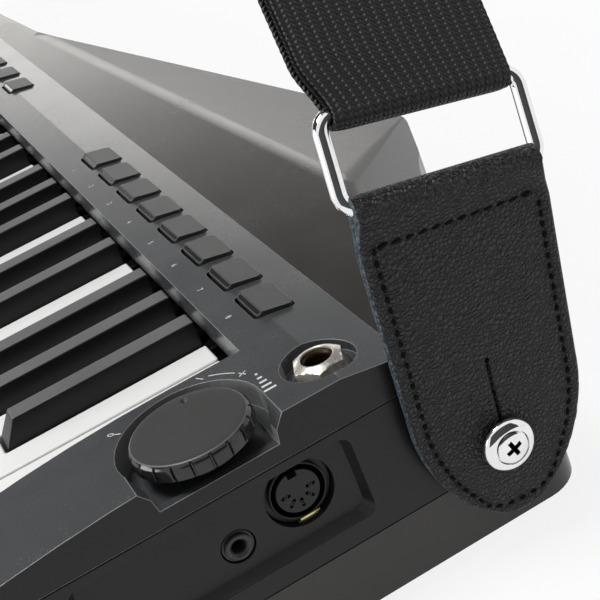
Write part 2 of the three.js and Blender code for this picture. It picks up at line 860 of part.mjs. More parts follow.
function bodyOutline() {
  const shape = new THREE.Shape();
  const shoulder = -shoulderFromEnd;
  const root = -neckRootFromEnd;
  const neckEnd = -neckEndFromEnd;
  const wingTip = new THREE.Vector2(-wingTipFromEnd, wingTipBack);
  const wingEnd = new THREE.Vector2(-wingEndFromEnd, wingEndBack);
  const waist = new THREE.Vector2(-wingWaistFromEnd, wingWaistBack);
  const toEnd = wingEnd.clone().sub(wingTip).normalize();
  const toWaist = waist.clone().sub(wingEnd).normalize();
  const toNeck = new THREE.Vector2(-ridgeStartFromEnd, ridgeStartBack).sub(wingTip).normalize();
  shape.moveTo(0, bodyFront + tailCorner);
  shape.lineTo(0, tailBack);
  shape.quadraticCurveTo(
    waist.x, waist.y, wingEnd.x + toWaist.x * tipCorner, wingEnd.y + toWaist.y * tipCorner,
  );
  shape.quadraticCurveTo(
    wingEnd.x, wingEnd.y, wingEnd.x - toEnd.x * tipCorner, wingEnd.y - toEnd.y * tipCorner,
  );
  shape.lineTo(wingTip.x + toEnd.x * tipCorner, wingTip.y + toEnd.y * tipCorner);
  shape.quadraticCurveTo(
    wingTip.x, wingTip.y, wingTip.x + toNeck.x * tipCorner, wingTip.y + toNeck.y * tipCorner,
  );
  shape.lineTo(-ridgeStartFromEnd, ridgeStartBack);
  shape.lineTo(neckEnd + headSlant, neckEndBack);
  shape.lineTo(neckEnd, neckEndBack - headSlant);
  shape.lineTo(neckEnd, neckEndFront + headSlant);
  shape.lineTo(neckEnd + headSlant, neckEndFront);
  shape.lineTo(root, neckRootFront);
  shape.bezierCurveTo(
    root + shoulderReach, neckRootFront, shoulder - shoulderReach, bodyFront, shoulder + shoulderReach, bodyFront,
  );
  shape.lineTo(-tailCorner, bodyFront);
  shape.quadraticCurveTo(0, bodyFront, 0, bodyFront + tailCorner);
  return shape;
}

function body() {
  const length = neckEndFromEnd;
  const block = planPrism(bodyOutline(), footHeight, bodyTop, 10);
  const ridgeStart = [-ridgeStartFromEnd, ridgeStartBack, bodyTop];
  const ridgeMeet = [-ridgeMeetFromEnd, ridgeMeetBack, bodyTop];
  const wingTip = [-wingTipFromEnd, wingTipBack, footHeight + wingTipHeight];
  const tailEdge = [0, tailBack, footHeight + wingTipHeight];
  const frontTop = footHeight + frontBevelTop;
  const frontLow = footHeight + frontBevelBottom;
  const frontBevel = sidePrism([
    [bodyFront - overrun, frontLow - (frontTop - frontLow) * overrun / frontShelf],
    [panelFront, frontTop],
    [panelFront, bodyTop + overrun],
    [bodyFront - overrun, bodyTop + overrun],
  ], -moduleLength - seatGap, overrun);
  const shoulderBevel = abovePlane(
    [-moduleLength, bodyFront, frontLow],
    [-moduleLength, panelFront, frontTop],
    [-neckRootFromEnd, neckRootFront, bodyTop],
    length,
  );
  const bay = box(
    [-moduleLength - seatGap, panelFront - seatGap, slabTop],
    [overrun, panelBack + seatGap, bodyTop + overrun],
  );
  const underNeck = frontPrism([
    [-length - overrun, -overrun],
    [-neckLiftStart, -overrun],
    [-neckLiftStart, footHeight],
    [-neckLiftStart - neckLiftRun, footHeight + neckLift],
    [-length - overrun, footHeight + neckLift],
  ], bodyFront - overrun, wingTipBack + overrun);
  const neckBottom = footHeight + neckLift;
  const rounds = [
    edgeRound([-wingEndFromEnd, wingEndBack], [-wingTipFromEnd, wingTipBack], footHeight, bottomFillet, false),
    edgeRound([-wingTipFromEnd, wingTipBack], [-ridgeStartFromEnd, ridgeStartBack], footHeight, bottomFillet, false),
    edgeRound([-ridgeStartFromEnd, ridgeStartBack], [-length + headSlant, neckEndBack], neckBottom, neckRound, false),
    edgeRound([-length + headSlant, neckEndFront], [-neckRootFromEnd, neckRootFront], neckBottom, neckRound, false),
    edgeRound([shoulderReach - shoulderFromEnd, bodyFront], [0, bodyFront], footHeight, bottomFillet, false),
  ];
  const stripLeft = -length + stripFromNeckEnd;
  const neckMiddle = (neckEndBack + neckEndFront) / 2;
  const strip = box(
    [stripLeft, neckMiddle - stripWidth / 2, bodyTop - stripDepth],
    [stripLeft + stripLength, neckMiddle + stripWidth / 2, bodyTop + overrun],
  );
  const seamTop = footHeight + batterySeamDepth;
  const seam = planPrism(batteryOutline(batterySeam), 0, seamTop, 3)
    .subtract(planPrism(batteryOutline(0), 0, seamTop, 3));
  const latchMiddle = batteryLeft + batteryLength / 2;
  const latch = box(
    [latchMiddle - latchLength / 2, batteryFront + latchWidth, 0],
    [latchMiddle + latchLength / 2, batteryFront + 2 * latchWidth, footHeight + latchDepth],
  );
  const cut = cutAll(block, [
    abovePlane(ridgeStart, ridgeMeet, wingTip, length),
    abovePlane(ridgeMeet, wingTip, tailEdge, length),
    frontBevel, bay, underNeck, ...rounds, strip, seam, latch,
  ]);
  const feetPlaces = [
    [-footInset, bodyFront + footInset],
    [-footInset, panelBack],
    [-moduleLength + footInset, bodyFront + footInset],
    [-moduleLength + footInset, panelBack - footInset / 2],
    [-wingTipFromEnd, wingTipBack - footInset],
  ];
  const feet = feetPlaces.map(([x, y]) => moved(disc(footRadius, 0, footHeight + seatGap, 20), x, y, 0));
  return unite([cut.subtract(shoulderCut(shoulderBevel)), ...feet]);
}

// The sloped shoulder beside the module's low end, kept off the rest of the body
function shoulderCut(bevel) {
  const window = box(
    [-neckRootFromEnd, bodyFront - overrun, footHeight],
    [-moduleLength, neckRootFront, bodyTop + overrun],
  );
  return bevel.intersect(window);
}

addPiece('body', body(), looks.bodyPaint);

// Strap buttons, one in the tail end and one in the neck end
function strapButton() {
  return turned([
    [0, 0],
    [buttonBaseRadius, 0],
    [buttonBaseRadius, buttonBaseHeight],
    [buttonNeckRadius, buttonBaseHeight],
    [buttonNeckRadius, buttonHeight - buttonDome - buttonHeadRim],
    [buttonHeadRadius, buttonHeight - buttonDome],
    ...buttonDomeShares.map(([out, up]) => [
      buttonHeadRadius * out, buttonHeight - buttonDome + buttonDome * up,
    ]),
    [0, buttonHeight],
  ], 28);
}

const tailButton = addPiece('strap_button_tail', strapButton(), looks.chrome);
tailButton.rotation.y = halfTurn / 2;
tailButton.position.set(seatGap, buttonBack, buttonRise);
const neckButton = addPiece('strap_button_neck', strapButton(), looks.chrome);
neckButton.rotation.y = -halfTurn / 2;
neckButton.position.set(-neckEndFromEnd - seatGap, neckButtonBack, neckButtonRise);

// A strap end stands in a frame of its own: across is X, up is Y, outward is Z and the button is the origin
function strapEnd(outward, y, z) {
  const stand = new THREE.Group();
  stand.position.set(outward > 0 ? seatGap : -neckEndFromEnd - seatGap, y, z);
  stand.quaternion.setFromRotationMatrix(new THREE.Matrix4().makeBasis(
    new THREE.Vector3(0, outward, 0),
    new THREE.Vector3(0, 0, 1),
    new THREE.Vector3(outward, 0, 0),
  ));
  const leaning = new THREE.Group();
  leaning.rotation.z = -outward * leatherLean;
  stand.add(leaning);
  model.add(stand);
  return leaning;
}

const leatherLow = buttonBaseHeight + seatGap;
const leatherHigh = leatherLow + leatherThickness;
const leatherMiddle = leatherLow + leatherThickness / 2;
const leatherTop = leatherLength - leatherBelowButton;

const hemHalf = ringWidth / 2 - ringWire - ringCorner - seatGap;

// A tongue of leather with a round lower end and a neck for the ring, its top edge turned by a small angle
function leatherTongue(topTurn) {
  const half = leatherWidth / 2;
  const tip = leatherTipWidth / 2;
  const [startShare, sideShare, lowShare] = leatherCurveShares;
  const low = -leatherBelowButton;
  const start = leatherLength * startShare;
  const atTop = (x, y) => new THREE.Vector2(x, y)
    .rotateAround(new THREE.Vector2(0, 0), -topTurn)
    .add(new THREE.Vector2(leatherOffset, leatherTop));
  const right = ringSlide + hemHalf;
  const left = ringSlide - hemHalf;
  const crown = [
    [half, -hemShoulder], [right, -hemRadius], [right, 0], [left, 0], [left, -hemRadius], [-half, -hemShoulder],
  ].map(([x, y]) => atTop(x, y));
  const shape = new THREE.Shape();
  shape.moveTo(leatherOffset + tip, start);
  crown.forEach((point) => shape.lineTo(point.x, point.y));
  shape.lineTo(leatherOffset - tip, start);
  shape.bezierCurveTo(
    leatherOffset - tip, start * sideShare, leatherOffset - tip * lowShare, low, leatherOffset, low,
  );
  shape.bezierCurveTo(
    leatherOffset + tip * lowShare, low, leatherOffset + tip, start * sideShare, leatherOffset + tip, start,
  );
  const hole = new THREE.Path();
  hole.absarc(0, 0, buttonNeckRadius + leatherHoleGap, 0, fullTurn, true);
  shape.holes.push(hole);
  return planPrism(shape, leatherLow, leatherHigh, 8);
}

// The tail end folds over the lower bar of the ring in a round hem
function hemmedTongue() {
  const hemPlace = new THREE.Matrix4().makeTranslation(leatherOffset, leatherTop, leatherMiddle)
    .multiply(new THREE.Matrix4().makeRotationZ(-ringTurn))
    .multiply(new THREE.Matrix4().makeRotationY(halfTurn / 2));
  const hem = placed(disc(hemRadius, ringSlide - hemHalf, ringSlide + hemHalf, 16), hemPlace);
  const tunnel = placed(disc(ringWire + seatGap, -leatherWidth, leatherWidth, 12), hemPlace);
  return leatherTongue(ringTurn).add(hem).subtract(tunnel);
}

const tailEnd = strapEnd(1, buttonBack, buttonRise);
const neckEnd = strapEnd(-1, neckButtonBack, neckButtonRise);
addPiece('strap_leather_tail', hemmedTongue(), looks.leather, tailEnd);
addPiece('strap_leather_neck', leatherTongue(0), looks.leather, neckEnd);

// A closed tube through flat points, its sections square to the line between their neighbours
function loopTube(points, radius, sides) {
  const positions = [];
  const count = points.length;
  points.forEach((point, slot) => {
    const before = points[(slot + count - 1) % count];
    const after = points[(slot + 1) % count];
    const along = after.clone().sub(before).normalize();
    for (let side = 0; side < sides; side += 1) {
      const turn = side * fullTurn / sides;
      positions.push(
        point.x - along.y * radius * Math.cos(turn),
        point.y + along.x * radius * Math.cos(turn),
        radius * Math.sin(turn),
      );
    }
  });
  const order = [];
  for (let slot = 0; slot < count; slot += 1) {
    const next = (slot + 1) % count;
    for (let side = 0; side < sides; side += 1) {
      const turn = (side + 1) % sides;
      const near = [slot * sides + side, slot * sides + turn];
      const far = [next * sides + side, next * sides + turn];
      order.push(near[0], near[1], far[0], near[1], far[1], far[0]);
    }
  }
  const geometry = new THREE.BufferGeometry();
  geometry.setAttribute('position', new THREE.BufferAttribute(new Float32Array(positions), 3));
  geometry.setIndex(order);
  return outwardSolid(geometry);
}

function outwardSolid(geometry) {
  const solid = toSolid(geometry);
  if (solid.volume() > 0) return solid;
  flipFaces(geometry);
  return toSolid(geometry);
}

// A wire bent into a rectangle with round corners, the middle of its lower bar at the origin
function wireRing() {
  const half = ringWidth / 2 - ringWire;
  const high = ringHeight - 2 * ringWire;
  const corners = [[-half, 0], [half, 0], [half, high], [-half, high]];
  const outline = roundedShape(corners.map(([x, y]) => [x, y, ringCorner]));
  const points = outline.getPoints(4).filter((point, slot, all) => {
    const before = all[(slot + all.length - 1) % all.length];
    return point.distanceTo(before) > seatGap;
  });
  return loopTube(points, ringWire, ringWireSides);
}

const ring = addPiece('strap_ring', wireRing(), looks.chrome, tailEnd);
ring.rotation.order = 'ZYX';
ring.rotation.z = -ringTurn;
ring.rotation.x = -ringTilt;
ring.position.set(
  leatherOffset + ringSlide * Math.cos(ringTurn), leatherTop - ringSlide * Math.sin(ringTurn), leatherMiddle,
);

// Webbing: its folded end goes down behind the ring's upper bar, round it and up again, over in an arch,
// and down to the outer side of the neck leather
function toModel(point, holder) {
  holder.updateWorldMatrix(true, false);
  return holder.localToWorld(point);
}

const layer = ringWire + seatGap + webThickness / 2;
const upperBar = toModel(new THREE.Vector3(0, ringHeight - 2 * ringWire, 0), ring);
const barAcross = toModel(new THREE.Vector3(1, ringHeight - 2 * ringWire, 0), ring).sub(upperBar);
const neckTop = toModel(new THREE.Vector3(
  leatherOffset, leatherTop - sewnLength, leatherHigh + seatGap + webThickness / 2,
), neckEnd);
const neckAcross = toModel(new THREE.Vector3(
  leatherOffset - 1, leatherTop - sewnLength, leatherHigh + seatGap + webThickness / 2,
), neckEnd).sub(neckTop);

function webStations() {
  const stations = [];
  const put = (centre, across) => stations.push({ centre, across });
  const closeLayer = webThickness / 2 + webLayerGap / 2;
  const rise = new THREE.Vector3(...webLeanShares).normalize();
  const outward = new THREE.Vector3().crossVectors(barAcross, rise).normalize();
  const under = new THREE.Vector3().crossVectors(barAcross, outward);
  const bar = upperBar.clone().addScaledVector(barAcross, -webSlide);
  const at = (height, out) => bar.clone().addScaledVector(rise, height).addScaledVector(outward, out);
  put(at(webFold, -closeLayer), barAcross);
  put(at(webOpen, -layer), barAcross);
  for (let step = 0; step <= webBarSteps; step += 1) {
    const turn = halfTurn + step * halfTurn / webBarSteps;
    const round = bar.clone().addScaledVector(outward, Math.cos(turn) * layer);
    put(round.addScaledVector(under, -Math.sin(turn) * layer), barAcross);
  }
  put(at(webOpen, layer), barAcross);
  const start = at(webFold, closeLayer);
  put(start, barAcross);
  const finish = neckTop.clone().add(new THREE.Vector3(0, 0, sewnLength));
  const arch = new THREE.CubicBezierCurve3(
    start, start.clone().addScaledVector(rise, webReach), finish.clone().add(new THREE.Vector3(0, 0, webReach)), finish,
  );
  for (let step = 1; step <= webSteps; step += 1) {
    const share = step / webSteps;
    put(arch.getPoint(share), barAcross.clone().lerp(neckAcross, share).normalize());
  }
  put(neckTop.clone(), neckAcross.clone().normalize());
  return stations;
}

// A band through its stations, as thick at each bend as along its straights
function band(stations, width, thickness) {
  const positions = [];
  stations.forEach(({ centre, across }, slot) => {
    const before = stations[Math.max(0, slot - 1)].centre;
    const after = stations[Math.min(stations.length - 1, slot + 1)].centre;
    const along = after.clone().sub(before).normalize();
    const outward = new THREE.Vector3().crossVectors(across, along).normalize();
    [[-1, -1], [1, -1], [1, 1], [-1, 1]].forEach(([sideways, outwards]) => {
      const corner = centre.clone()
        .addScaledVector(across, sideways * width / 2)
        .addScaledVector(outward, outwards * thickness / 2);
      positions.push(corner.x, corner.y, corner.z);
    });
  });
  const order = [0, 2, 1, 0, 3, 2];
  const last = 4 * (stations.length - 1);
  order.push(last, last + 1, last + 2, last, last + 2, last + 3);
  for (let slot = 0; slot < last; slot += 4) {
    for (let side = 0; side < 4; side += 1) {
      const next = (side + 1) % 4;
      order.push(slot + side, slot + next, slot + 4 + next, slot + side, slot + 4 + next, slot + 4 + side);
    }
  }
  const geometry = new THREE.BufferGeometry();
  geometry.setAttribute('position', new THREE.BufferAttribute(new Float32Array(positions), 3));
  geometry.setIndex(order);
  return outwardSolid(geometry);
}

addPiece('strap_webbing', band(webStations(), webWidth, webThickness), looks.webbing);

// The middle of the footprint
const reach = new THREE.Box3().setFromObject(model);
model.position.set(-(reach.min.x + reach.max.x) / 2, -(reach.min.y + reach.max.y) / 2, 0);

export default model;
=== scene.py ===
# A keytar seen from its tail end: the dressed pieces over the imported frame, in metres.
import math

import bmesh
import bpy
from mathutils import Matrix, Vector


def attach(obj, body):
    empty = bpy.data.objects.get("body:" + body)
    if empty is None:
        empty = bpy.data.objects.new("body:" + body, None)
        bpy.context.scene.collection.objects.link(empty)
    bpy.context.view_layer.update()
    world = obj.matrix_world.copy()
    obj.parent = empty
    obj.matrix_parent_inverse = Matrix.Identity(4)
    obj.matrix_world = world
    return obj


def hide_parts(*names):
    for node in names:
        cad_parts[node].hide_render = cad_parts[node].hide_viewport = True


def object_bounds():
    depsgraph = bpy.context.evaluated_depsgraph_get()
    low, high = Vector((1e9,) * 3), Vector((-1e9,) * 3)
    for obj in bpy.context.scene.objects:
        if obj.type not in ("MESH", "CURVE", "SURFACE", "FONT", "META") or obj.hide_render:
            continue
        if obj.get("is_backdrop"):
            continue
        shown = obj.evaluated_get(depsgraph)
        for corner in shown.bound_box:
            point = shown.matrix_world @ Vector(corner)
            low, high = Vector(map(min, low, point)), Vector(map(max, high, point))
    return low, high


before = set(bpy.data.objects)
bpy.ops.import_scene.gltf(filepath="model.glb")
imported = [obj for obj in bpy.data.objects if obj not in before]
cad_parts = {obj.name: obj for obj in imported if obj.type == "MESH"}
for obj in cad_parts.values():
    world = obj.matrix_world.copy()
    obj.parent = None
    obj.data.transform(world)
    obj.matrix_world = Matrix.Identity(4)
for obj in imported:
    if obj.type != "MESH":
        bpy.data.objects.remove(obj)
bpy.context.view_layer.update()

# Units, the step from the tail end to the frame's middle, and the body that stands still
MM = 0.001
SHIFT = Vector((408.0, -7.5635, 0.0))
ROOT = "instrument"
scene = bpy.context.scene

# Driving sizes, in millimetres from the tail end, the round socket's middle line and the floor
PANEL_TOP = 68.2
PANEL_END = 3.0
FACET_START, FACET_RUN, FACET_DROP = 19.7, 17.8, 3.1
KEY_BACK = 4.5
KNOB = (-14.6, -16.6)
KNOB_TOP = PANEL_TOP + 0.9
POCKET_REACH = 30.0
JACK = (-14.4, 19.8)
SOCKET_Z = 43.5
TAIL_CORNER = 72.0
STRAP_BUTTON = (0.3, 52.2, 31.7)
NECK_BUTTON = (-816.3, 7.0, 42.0)


def place(x, y, z):
    """The place in the scene of a point that is given in millimetres."""
    return (Vector((x, y, z)) + SHIFT) * MM


def clamped(value):
    return max(0.0, min(1.0, value))


def eased(share):
    """A soft step from 0 to 1."""
    share = clamped(share)
    return share * share * (3 - 2 * share)


def around(radius, at):
    """A point of a circle, from its radius and angle."""
    return radius * math.cos(at), radius * math.sin(at)


# Camera, as solved from the photo
CAMERA_PLACE = (296.5, -54.2, 247.5)
CAMERA_LENS = 87.92
camera_data = bpy.data.cameras.new("camera")
camera = bpy.data.objects.new("camera", camera_data)
scene.collection.objects.link(camera)
camera_data.sensor_width = 36.0
camera_data.lens = CAMERA_LENS
camera_data.clip_start = 0.01
camera_data.clip_end = 60.0
camera_right = Vector((0.38581, 0.85850, -0.33783))
camera_up = Vector((-0.31781, 0.46744, 0.82492))
camera_back = Vector((0.86611, -0.21090, 0.45318))
turn = Matrix((camera_right, camera_up, camera_back)).transposed().to_4x4()
camera.matrix_world = Matrix.Translation(place(*CAMERA_PLACE)) @ turn
scene.camera = camera


# Materials
MOTTLE_SCALE = 38.0
FINE_GRAIN = 2600.0
ROUGH_WEAR = 0.06
LEATHER_CELLS = 840.0
LEATHER_WARP = 520.0
WARP_REACH = 0.0004
YARN_COLUMN, YARN_ROW = 1.3, 1.25
YARN_LEAN = 0.55
WEB_MARGIN = 60.0
# Near-black painted as shade in the leather's creases and in the gaps between the webbing's yarns
PAINTED_SHADE_BLACK = (0.0002, 0.0002, 0.0003)
PLAIN = (1.0, 1.0, 1.0)
WARM = (1.0, 0.965, 0.93)
COOL = (0.96, 0.99, 1.03)


class Look:
    """A node material with small helpers to build its pattern."""

    def __init__(self, name, rough=0.4, metal=0.0, gloss=0.5):
        self.material = bpy.data.materials.new(name)
        self.material.use_nodes = True
        self.nodes = self.material.node_tree.nodes
        self.links = self.material.node_tree.links
        self.shader = self.nodes["Principled BSDF"]
        self.shader.inputs["Roughness"].default_value = rough
        self.shader.inputs["Metallic"].default_value = metal
        self.shader.inputs["Specular IOR Level"].default_value = gloss
        self.source = self.nodes.new("ShaderNodeTexCoord")

    def node(self, kind, **values):
        """A node whose settings and unlinked inputs are given by name."""
        node = self.nodes.new(kind)
        for key, value in values.items():
            if hasattr(node, key) and key not in node.inputs:
                setattr(node, key, value)
            else:
                node.inputs[key].default_value = value
        return node

    def join(self, start, end):
        self.links.new(start, end)

    def noise(self, scale, detail=3.0, rough=0.55):
        node = self.node("ShaderNodeTexNoise", Scale=scale, Detail=detail, Roughness=rough)
        self.join(self.source.outputs["Object"], node.inputs["Vector"])
        return node.outputs["Fac"]

    def math(self, operation, first, second=None, clamp=False):
        node = self.node("ShaderNodeMath", operation=operation)
        node.use_clamp = clamp
        for slot, value in enumerate((first, second)):
            if value is None:
                continue
            if isinstance(value, (int, float)):
                node.inputs[slot].default_value = value
            else:
                self.join(value, node.inputs[slot])
        return node.outputs[0]

    def colour(self, factor, low, high, start=0.3, end=0.7):
        """The base colour goes from low to high while the factor goes from start to end."""
        node = self.nodes.new("ShaderNodeValToRGB")
        for element, position, colour in zip(node.color_ramp.elements, (start, end), (low, high)):
            element.position = position
            element.color = (*colour, 1.0)
        self.join(factor, node.inputs["Fac"])
        self.join(node.outputs["Color"], self.shader.inputs["Base Color"])

    def rough(self, factor, low, high):
        node = self.node("ShaderNodeMapRange")
        node.inputs["To Min"].default_value = low
        node.inputs["To Max"].default_value = high
        self.join(factor, node.inputs["Value"])
        self.join(node.outputs["Result"], self.shader.inputs["Roughness"])

    def bump(self, height, distance, strength=1.0, after=None):
        node = self.node("ShaderNodeBump")
        node.inputs["Strength"].default_value = strength
        node.inputs["Distance"].default_value = distance
        self.join(height, node.inputs["Height"])
        if after is not None:
            self.join(after, node.inputs["Normal"])
        self.join(node.outputs["Normal"], self.shader.inputs["Normal"])
        return node.outputs["Normal"]


def shade(value, tint=PLAIN):
    return tuple(value * part for part in tint)


def moulded(name, value, tint, rough, spread=0.12, grain=FINE_GRAIN, depth=0.00002, gloss=0.5):
    """Moulded or painted plastic with a fine grain and a faint mottle."""
    look = Look(name, rough, gloss=gloss)
    mottle = look.noise(MOTTLE_SCALE, 4.0)
    look.colour(mottle, shade(value * (1 - spread), tint), shade(value * (1 + spread), tint))
    fine = look.noise(grain, 2.0)
    mixed = look.math("ADD", look.math("MULTIPLY", mottle, 0.5), look.math("MULTIPLY", fine, 0.5))
    look.rough(mixed, rough - ROUGH_WEAR, rough + ROUGH_WEAR)
    look.bump(fine, depth)
    return look.material


def polished(name, tint, rough, metal=1.0):
    """Bare or plated metal with faint smears."""
    look = Look(name, rough, metal)
    smear = look.noise(160.0, 4.0, 0.6)
    look.colour(smear, shade(0.9, tint), tint)
    look.rough(smear, rough * 0.6, rough * 1.6)
    look.bump(look.noise(900.0, 2.0), 0.000004)
    return look.material


def leather_look():
    """Pebbled leather: domed cells, with the creases between them painted near-black as shade."""
    look = Look("leather_black", 0.42, gloss=0.38)
    warp = look.node("ShaderNodeTexNoise", Scale=LEATHER_WARP, Detail=2.0)
    look.join(look.source.outputs["Object"], warp.inputs["Vector"])
    moved = look.node("ShaderNodeVectorMath", operation="MULTIPLY_ADD")
    look.join(warp.outputs["Color"], moved.inputs[0])
    moved.inputs[1].default_value = shade(WARP_REACH)
    look.join(look.source.outputs["Object"], moved.inputs[2])
    cells = look.node("ShaderNodeTexVoronoi", feature="DISTANCE_TO_EDGE", Scale=LEATHER_CELLS)
    look.join(moved.outputs[0], cells.inputs["Vector"])
    dome = look.math("POWER", look.math("MULTIPLY", cells.outputs["Distance"], 2.5, clamp=True), 0.7)
    look.colour(dome, PAINTED_SHADE_BLACK, (0.0235, 0.024, 0.0265), 0.28, 0.8)
    look.rough(warp.outputs["Fac"], 0.4, 0.54)
    grain = look.bump(look.noise(FINE_GRAIN, 2.0), 0.00003, 0.5)
    look.bump(dome, 0.0003, 1.0, grain)
    return look.material


def raw_edge_look():
    """The leather's cut edge: bluish fibres on a dark ground."""
    look = Look("leather_raw_edge", 0.8)
    fibres = look.noise(1100.0, 5.0, 0.7)
    look.colour(fibres, (0.004, 0.006, 0.009), (0.1, 0.145, 0.18), 0.43, 0.6)
    look.bump(fibres, 0.0001, 0.8)
    return look.material


def webbing_look():
    """Woven webbing: plump slanted yarns in columns, and the lean changes from one column to the next; the
    gaps between the yarns are painted near-black as shade.
    """
    look = Look("webbing_black", 0.5, gloss=0.42)
    calc = look.math
    split = look.node("ShaderNodeSeparateXYZ")
    look.join(look.source.outputs["UV"], split.inputs[0])
    column = calc("MULTIPLY", calc("ADD", split.outputs["X"], WEB_MARGIN), 1.0 / YARN_COLUMN)
    inside = calc("FRACT", column)
    odd = calc("MODULO", calc("FLOOR", column), 2.0)
    lean = calc("SUBTRACT", calc("MULTIPLY", odd, 2.0), 1.0)
    row = calc("MULTIPLY", split.outputs["Y"], 1.0 / YARN_ROW)
    row = calc("ADD", row, calc("MULTIPLY", calc("MULTIPLY", inside, lean), YARN_LEAN))
    row = calc("FRACT", calc("ADD", row, calc("MULTIPLY", odd, 0.5)))
    yarn = calc("POWER", calc("SINE", calc("MULTIPLY", row, math.pi)), 1.1)
    rib = calc("POWER", calc("SINE", calc("MULTIPLY", inside, math.pi)), 0.9)
    height = calc("MULTIPLY", yarn, rib)
    fibre = look.noise(3800.0, 2.0)
    mixed = calc("ADD", calc("MULTIPLY", height, 0.88), calc("MULTIPLY", fibre, 0.12))
    look.colour(mixed, PAINTED_SHADE_BLACK, (0.015, 0.0155, 0.017), 0.35, 0.85)
    look.bump(mixed, 0.0008, 1.0)
    return look.material


LOOKS = {
    "body": moulded("body_paint_satin", 0.027, (1.0, 0.92, 0.83), 0.26, depth=0.000004, gloss=0.46),
    "panel": moulded("panel_gunmetal", 0.052, (0.93, 1.0, 1.07), 0.26, depth=0.000003, gloss=0.95),
    # Painted highlight: a paler look for the panel's sharp rims and the knob pocket's walls
    "panel_highlight": moulded("panel_painted_highlight", 0.24, (1.0, 1.0, 0.98), 0.3, depth=0.00001, gloss=0.8),
    "case": moulded("case_black_plastic", 0.012, WARM, 0.36, gloss=0.3),
    "white": moulded("white_key_plastic", 0.82, (1.0, 0.995, 0.98), 0.25, 0.02, depth=0.000004),
    "black": moulded("black_key_plastic", 0.006, PLAIN, 0.34, depth=0.00001, gloss=0.3),
    # Painted light: a lighter grey for the black keys' tops and for a highlight ring on the knob
    "black_top": moulded("black_key_top", 0.1, (0.98, 1.0, 1.03), 0.42, grain=1800.0),
    "pad": moulded("button_grey_plastic", 0.034, COOL, 0.42, grain=1600.0, depth=0.00008),
    "knob": moulded("knob_soft_black", 0.024, PLAIN, 0.48, grain=3200.0),
    "rim": moulded("knob_rim_gloss", 0.015, PLAIN, 0.14, depth=0.000003),
    "socket": moulded("socket_black_nylon", 0.022, PLAIN, 0.4),
    "nylon": moulded("socket_grey_nylon", 0.019, (1.0, 1.0, 0.95), 0.4, gloss=0.3),
    # Painted shade: a near-black for hole floors, the screw's cross, the slit's end and the white keys'
    # tongues
    "shadow": moulded("painted_shade_dark", 0.0008, PLAIN, 0.9, gloss=0.05),
    "rubber": moulded("rubber_black", 0.015, PLAIN, 0.75, depth=0.00004),
    "glass": moulded("window_smoked", 0.008, COOL, 0.08, depth=0.000002),
    "ink": moulded("marks_pale_ink", 0.62, PLAIN, 0.5, 0.05, depth=0.000004),
    "board": moulded("board_edge_green", 0.16, (0.55, 1.0, 0.6), 0.4),
    "thread": moulded("thread_black", 0.002, PLAIN, 0.8, grain=4000.0, depth=0.00006, gloss=0.15),
    "chrome": polished("chrome_bright", (0.86, 0.86, 0.87), 0.05),
    "brass": polished("contact_brass", (0.86, 0.66, 0.33), 0.22),
    # Brass painted dark as the shade inside the jack's bore
    "bronze": polished("sleeve_brass_painted_shade", (0.05, 0.032, 0.018), 0.35),
    "nickel": polished("nut_nickel", (0.84, 0.8, 0.72), 0.26, 0.7),
    "leather": leather_look(),
    "edge": raw_edge_look(),
    "webbing": webbing_look(),
}


# Making pieces
RIM_ANGLE = math.radians(50.0)
CREASE_ANGLE = math.radians(26.0)
FLAT_ANGLE = math.radians(0.6)


def add(name, mesh, look, slot, body=ROOT, replaces=()):
    """One visible piece, with its looks, the body that it rides on and the nodes that it replaces."""
    obj = bpy.data.objects.new(name, mesh)
    scene.collection.objects.link(obj)
    looks = look if isinstance(look, (list, tuple)) else [look]
    mesh.materials.clear()
    for key in looks:
        mesh.materials.append(LOOKS[key])
    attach(obj, body)
    if replaces:
        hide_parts(*replaces)
    return obj


def smooth(mesh, angle):
    mesh.shade_smooth()
    mesh.set_sharp_from_angle(angle=math.radians(angle))


def opened(mesh):
    """The mesh, open for edits."""
    work = bmesh.new()
    work.from_mesh(mesh)
    return work


def written(work, mesh):
    """The edits go back into the mesh."""
    work.to_mesh(mesh)
    work.free()


def round_edges(work, edges, radius, segments, clamp=False):
    """Some edges of an open mesh get a radius in millimetres."""
    bmesh.ops.bevel(work, geom=edges, offset=radius * MM, offset_type="OFFSET", segments=segments,
                    profile=0.5, affect="EDGES", clamp_overlap=clamp)


def broken_edges(obj, name, width, segments, angle):
    """A bevel on every edge that bends by more than an angle."""
    bevel = obj.modifiers.new(name, "BEVEL")
    bevel.width = width * MM
    bevel.segments = segments
    bevel.limit_method = "ANGLE"
    bevel.angle_limit = angle
    return bevel


def dressed(node, name, width, look, body, slot, segments, angle=CREASE_ANGLE, painted_rims=False):
    """A copy of a rigid solid with its facets joined and its edges broken by a small radius.

    With painted rims, the sharp rims take the second look, a painted highlight, and then only the shallow
    bends are left for the plain radius.
    """
    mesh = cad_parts[node].data.copy()
    work = opened(mesh)
    bmesh.ops.remove_doubles(work, verts=work.verts, dist=1e-6)
    bmesh.ops.dissolve_limit(work, angle_limit=FLAT_ANGLE, verts=work.verts, edges=work.edges, delimit=set())
    if painted_rims:
        weight = work.edges.layers.float.new("bevel_weight_edge")
        for edge in work.edges:
            if len(edge.link_faces) == 2 and angle < edge.calc_face_angle() < RIM_ANGLE:
                edge[weight] = 1.0
    written(work, mesh)
    mesh.name = name
    obj = add(name, mesh, look, slot, body, (node,))
    smooth(mesh, 40.0)
    if painted_rims:
        broken_edges(obj, "painted_highlight_rims", width, segments, RIM_ANGLE).material = 1
    bevel = broken_edges(obj, "edges", width, segments, angle)
    bevel.miter_outer = "MITER_ARC"
    if painted_rims:
        bevel.limit_method = "WEIGHT"
    flat = obj.modifiers.new("flat_faces", "WEIGHTED_NORMAL")
    flat.keep_sharp = False
    flat.weight = 100
    return obj


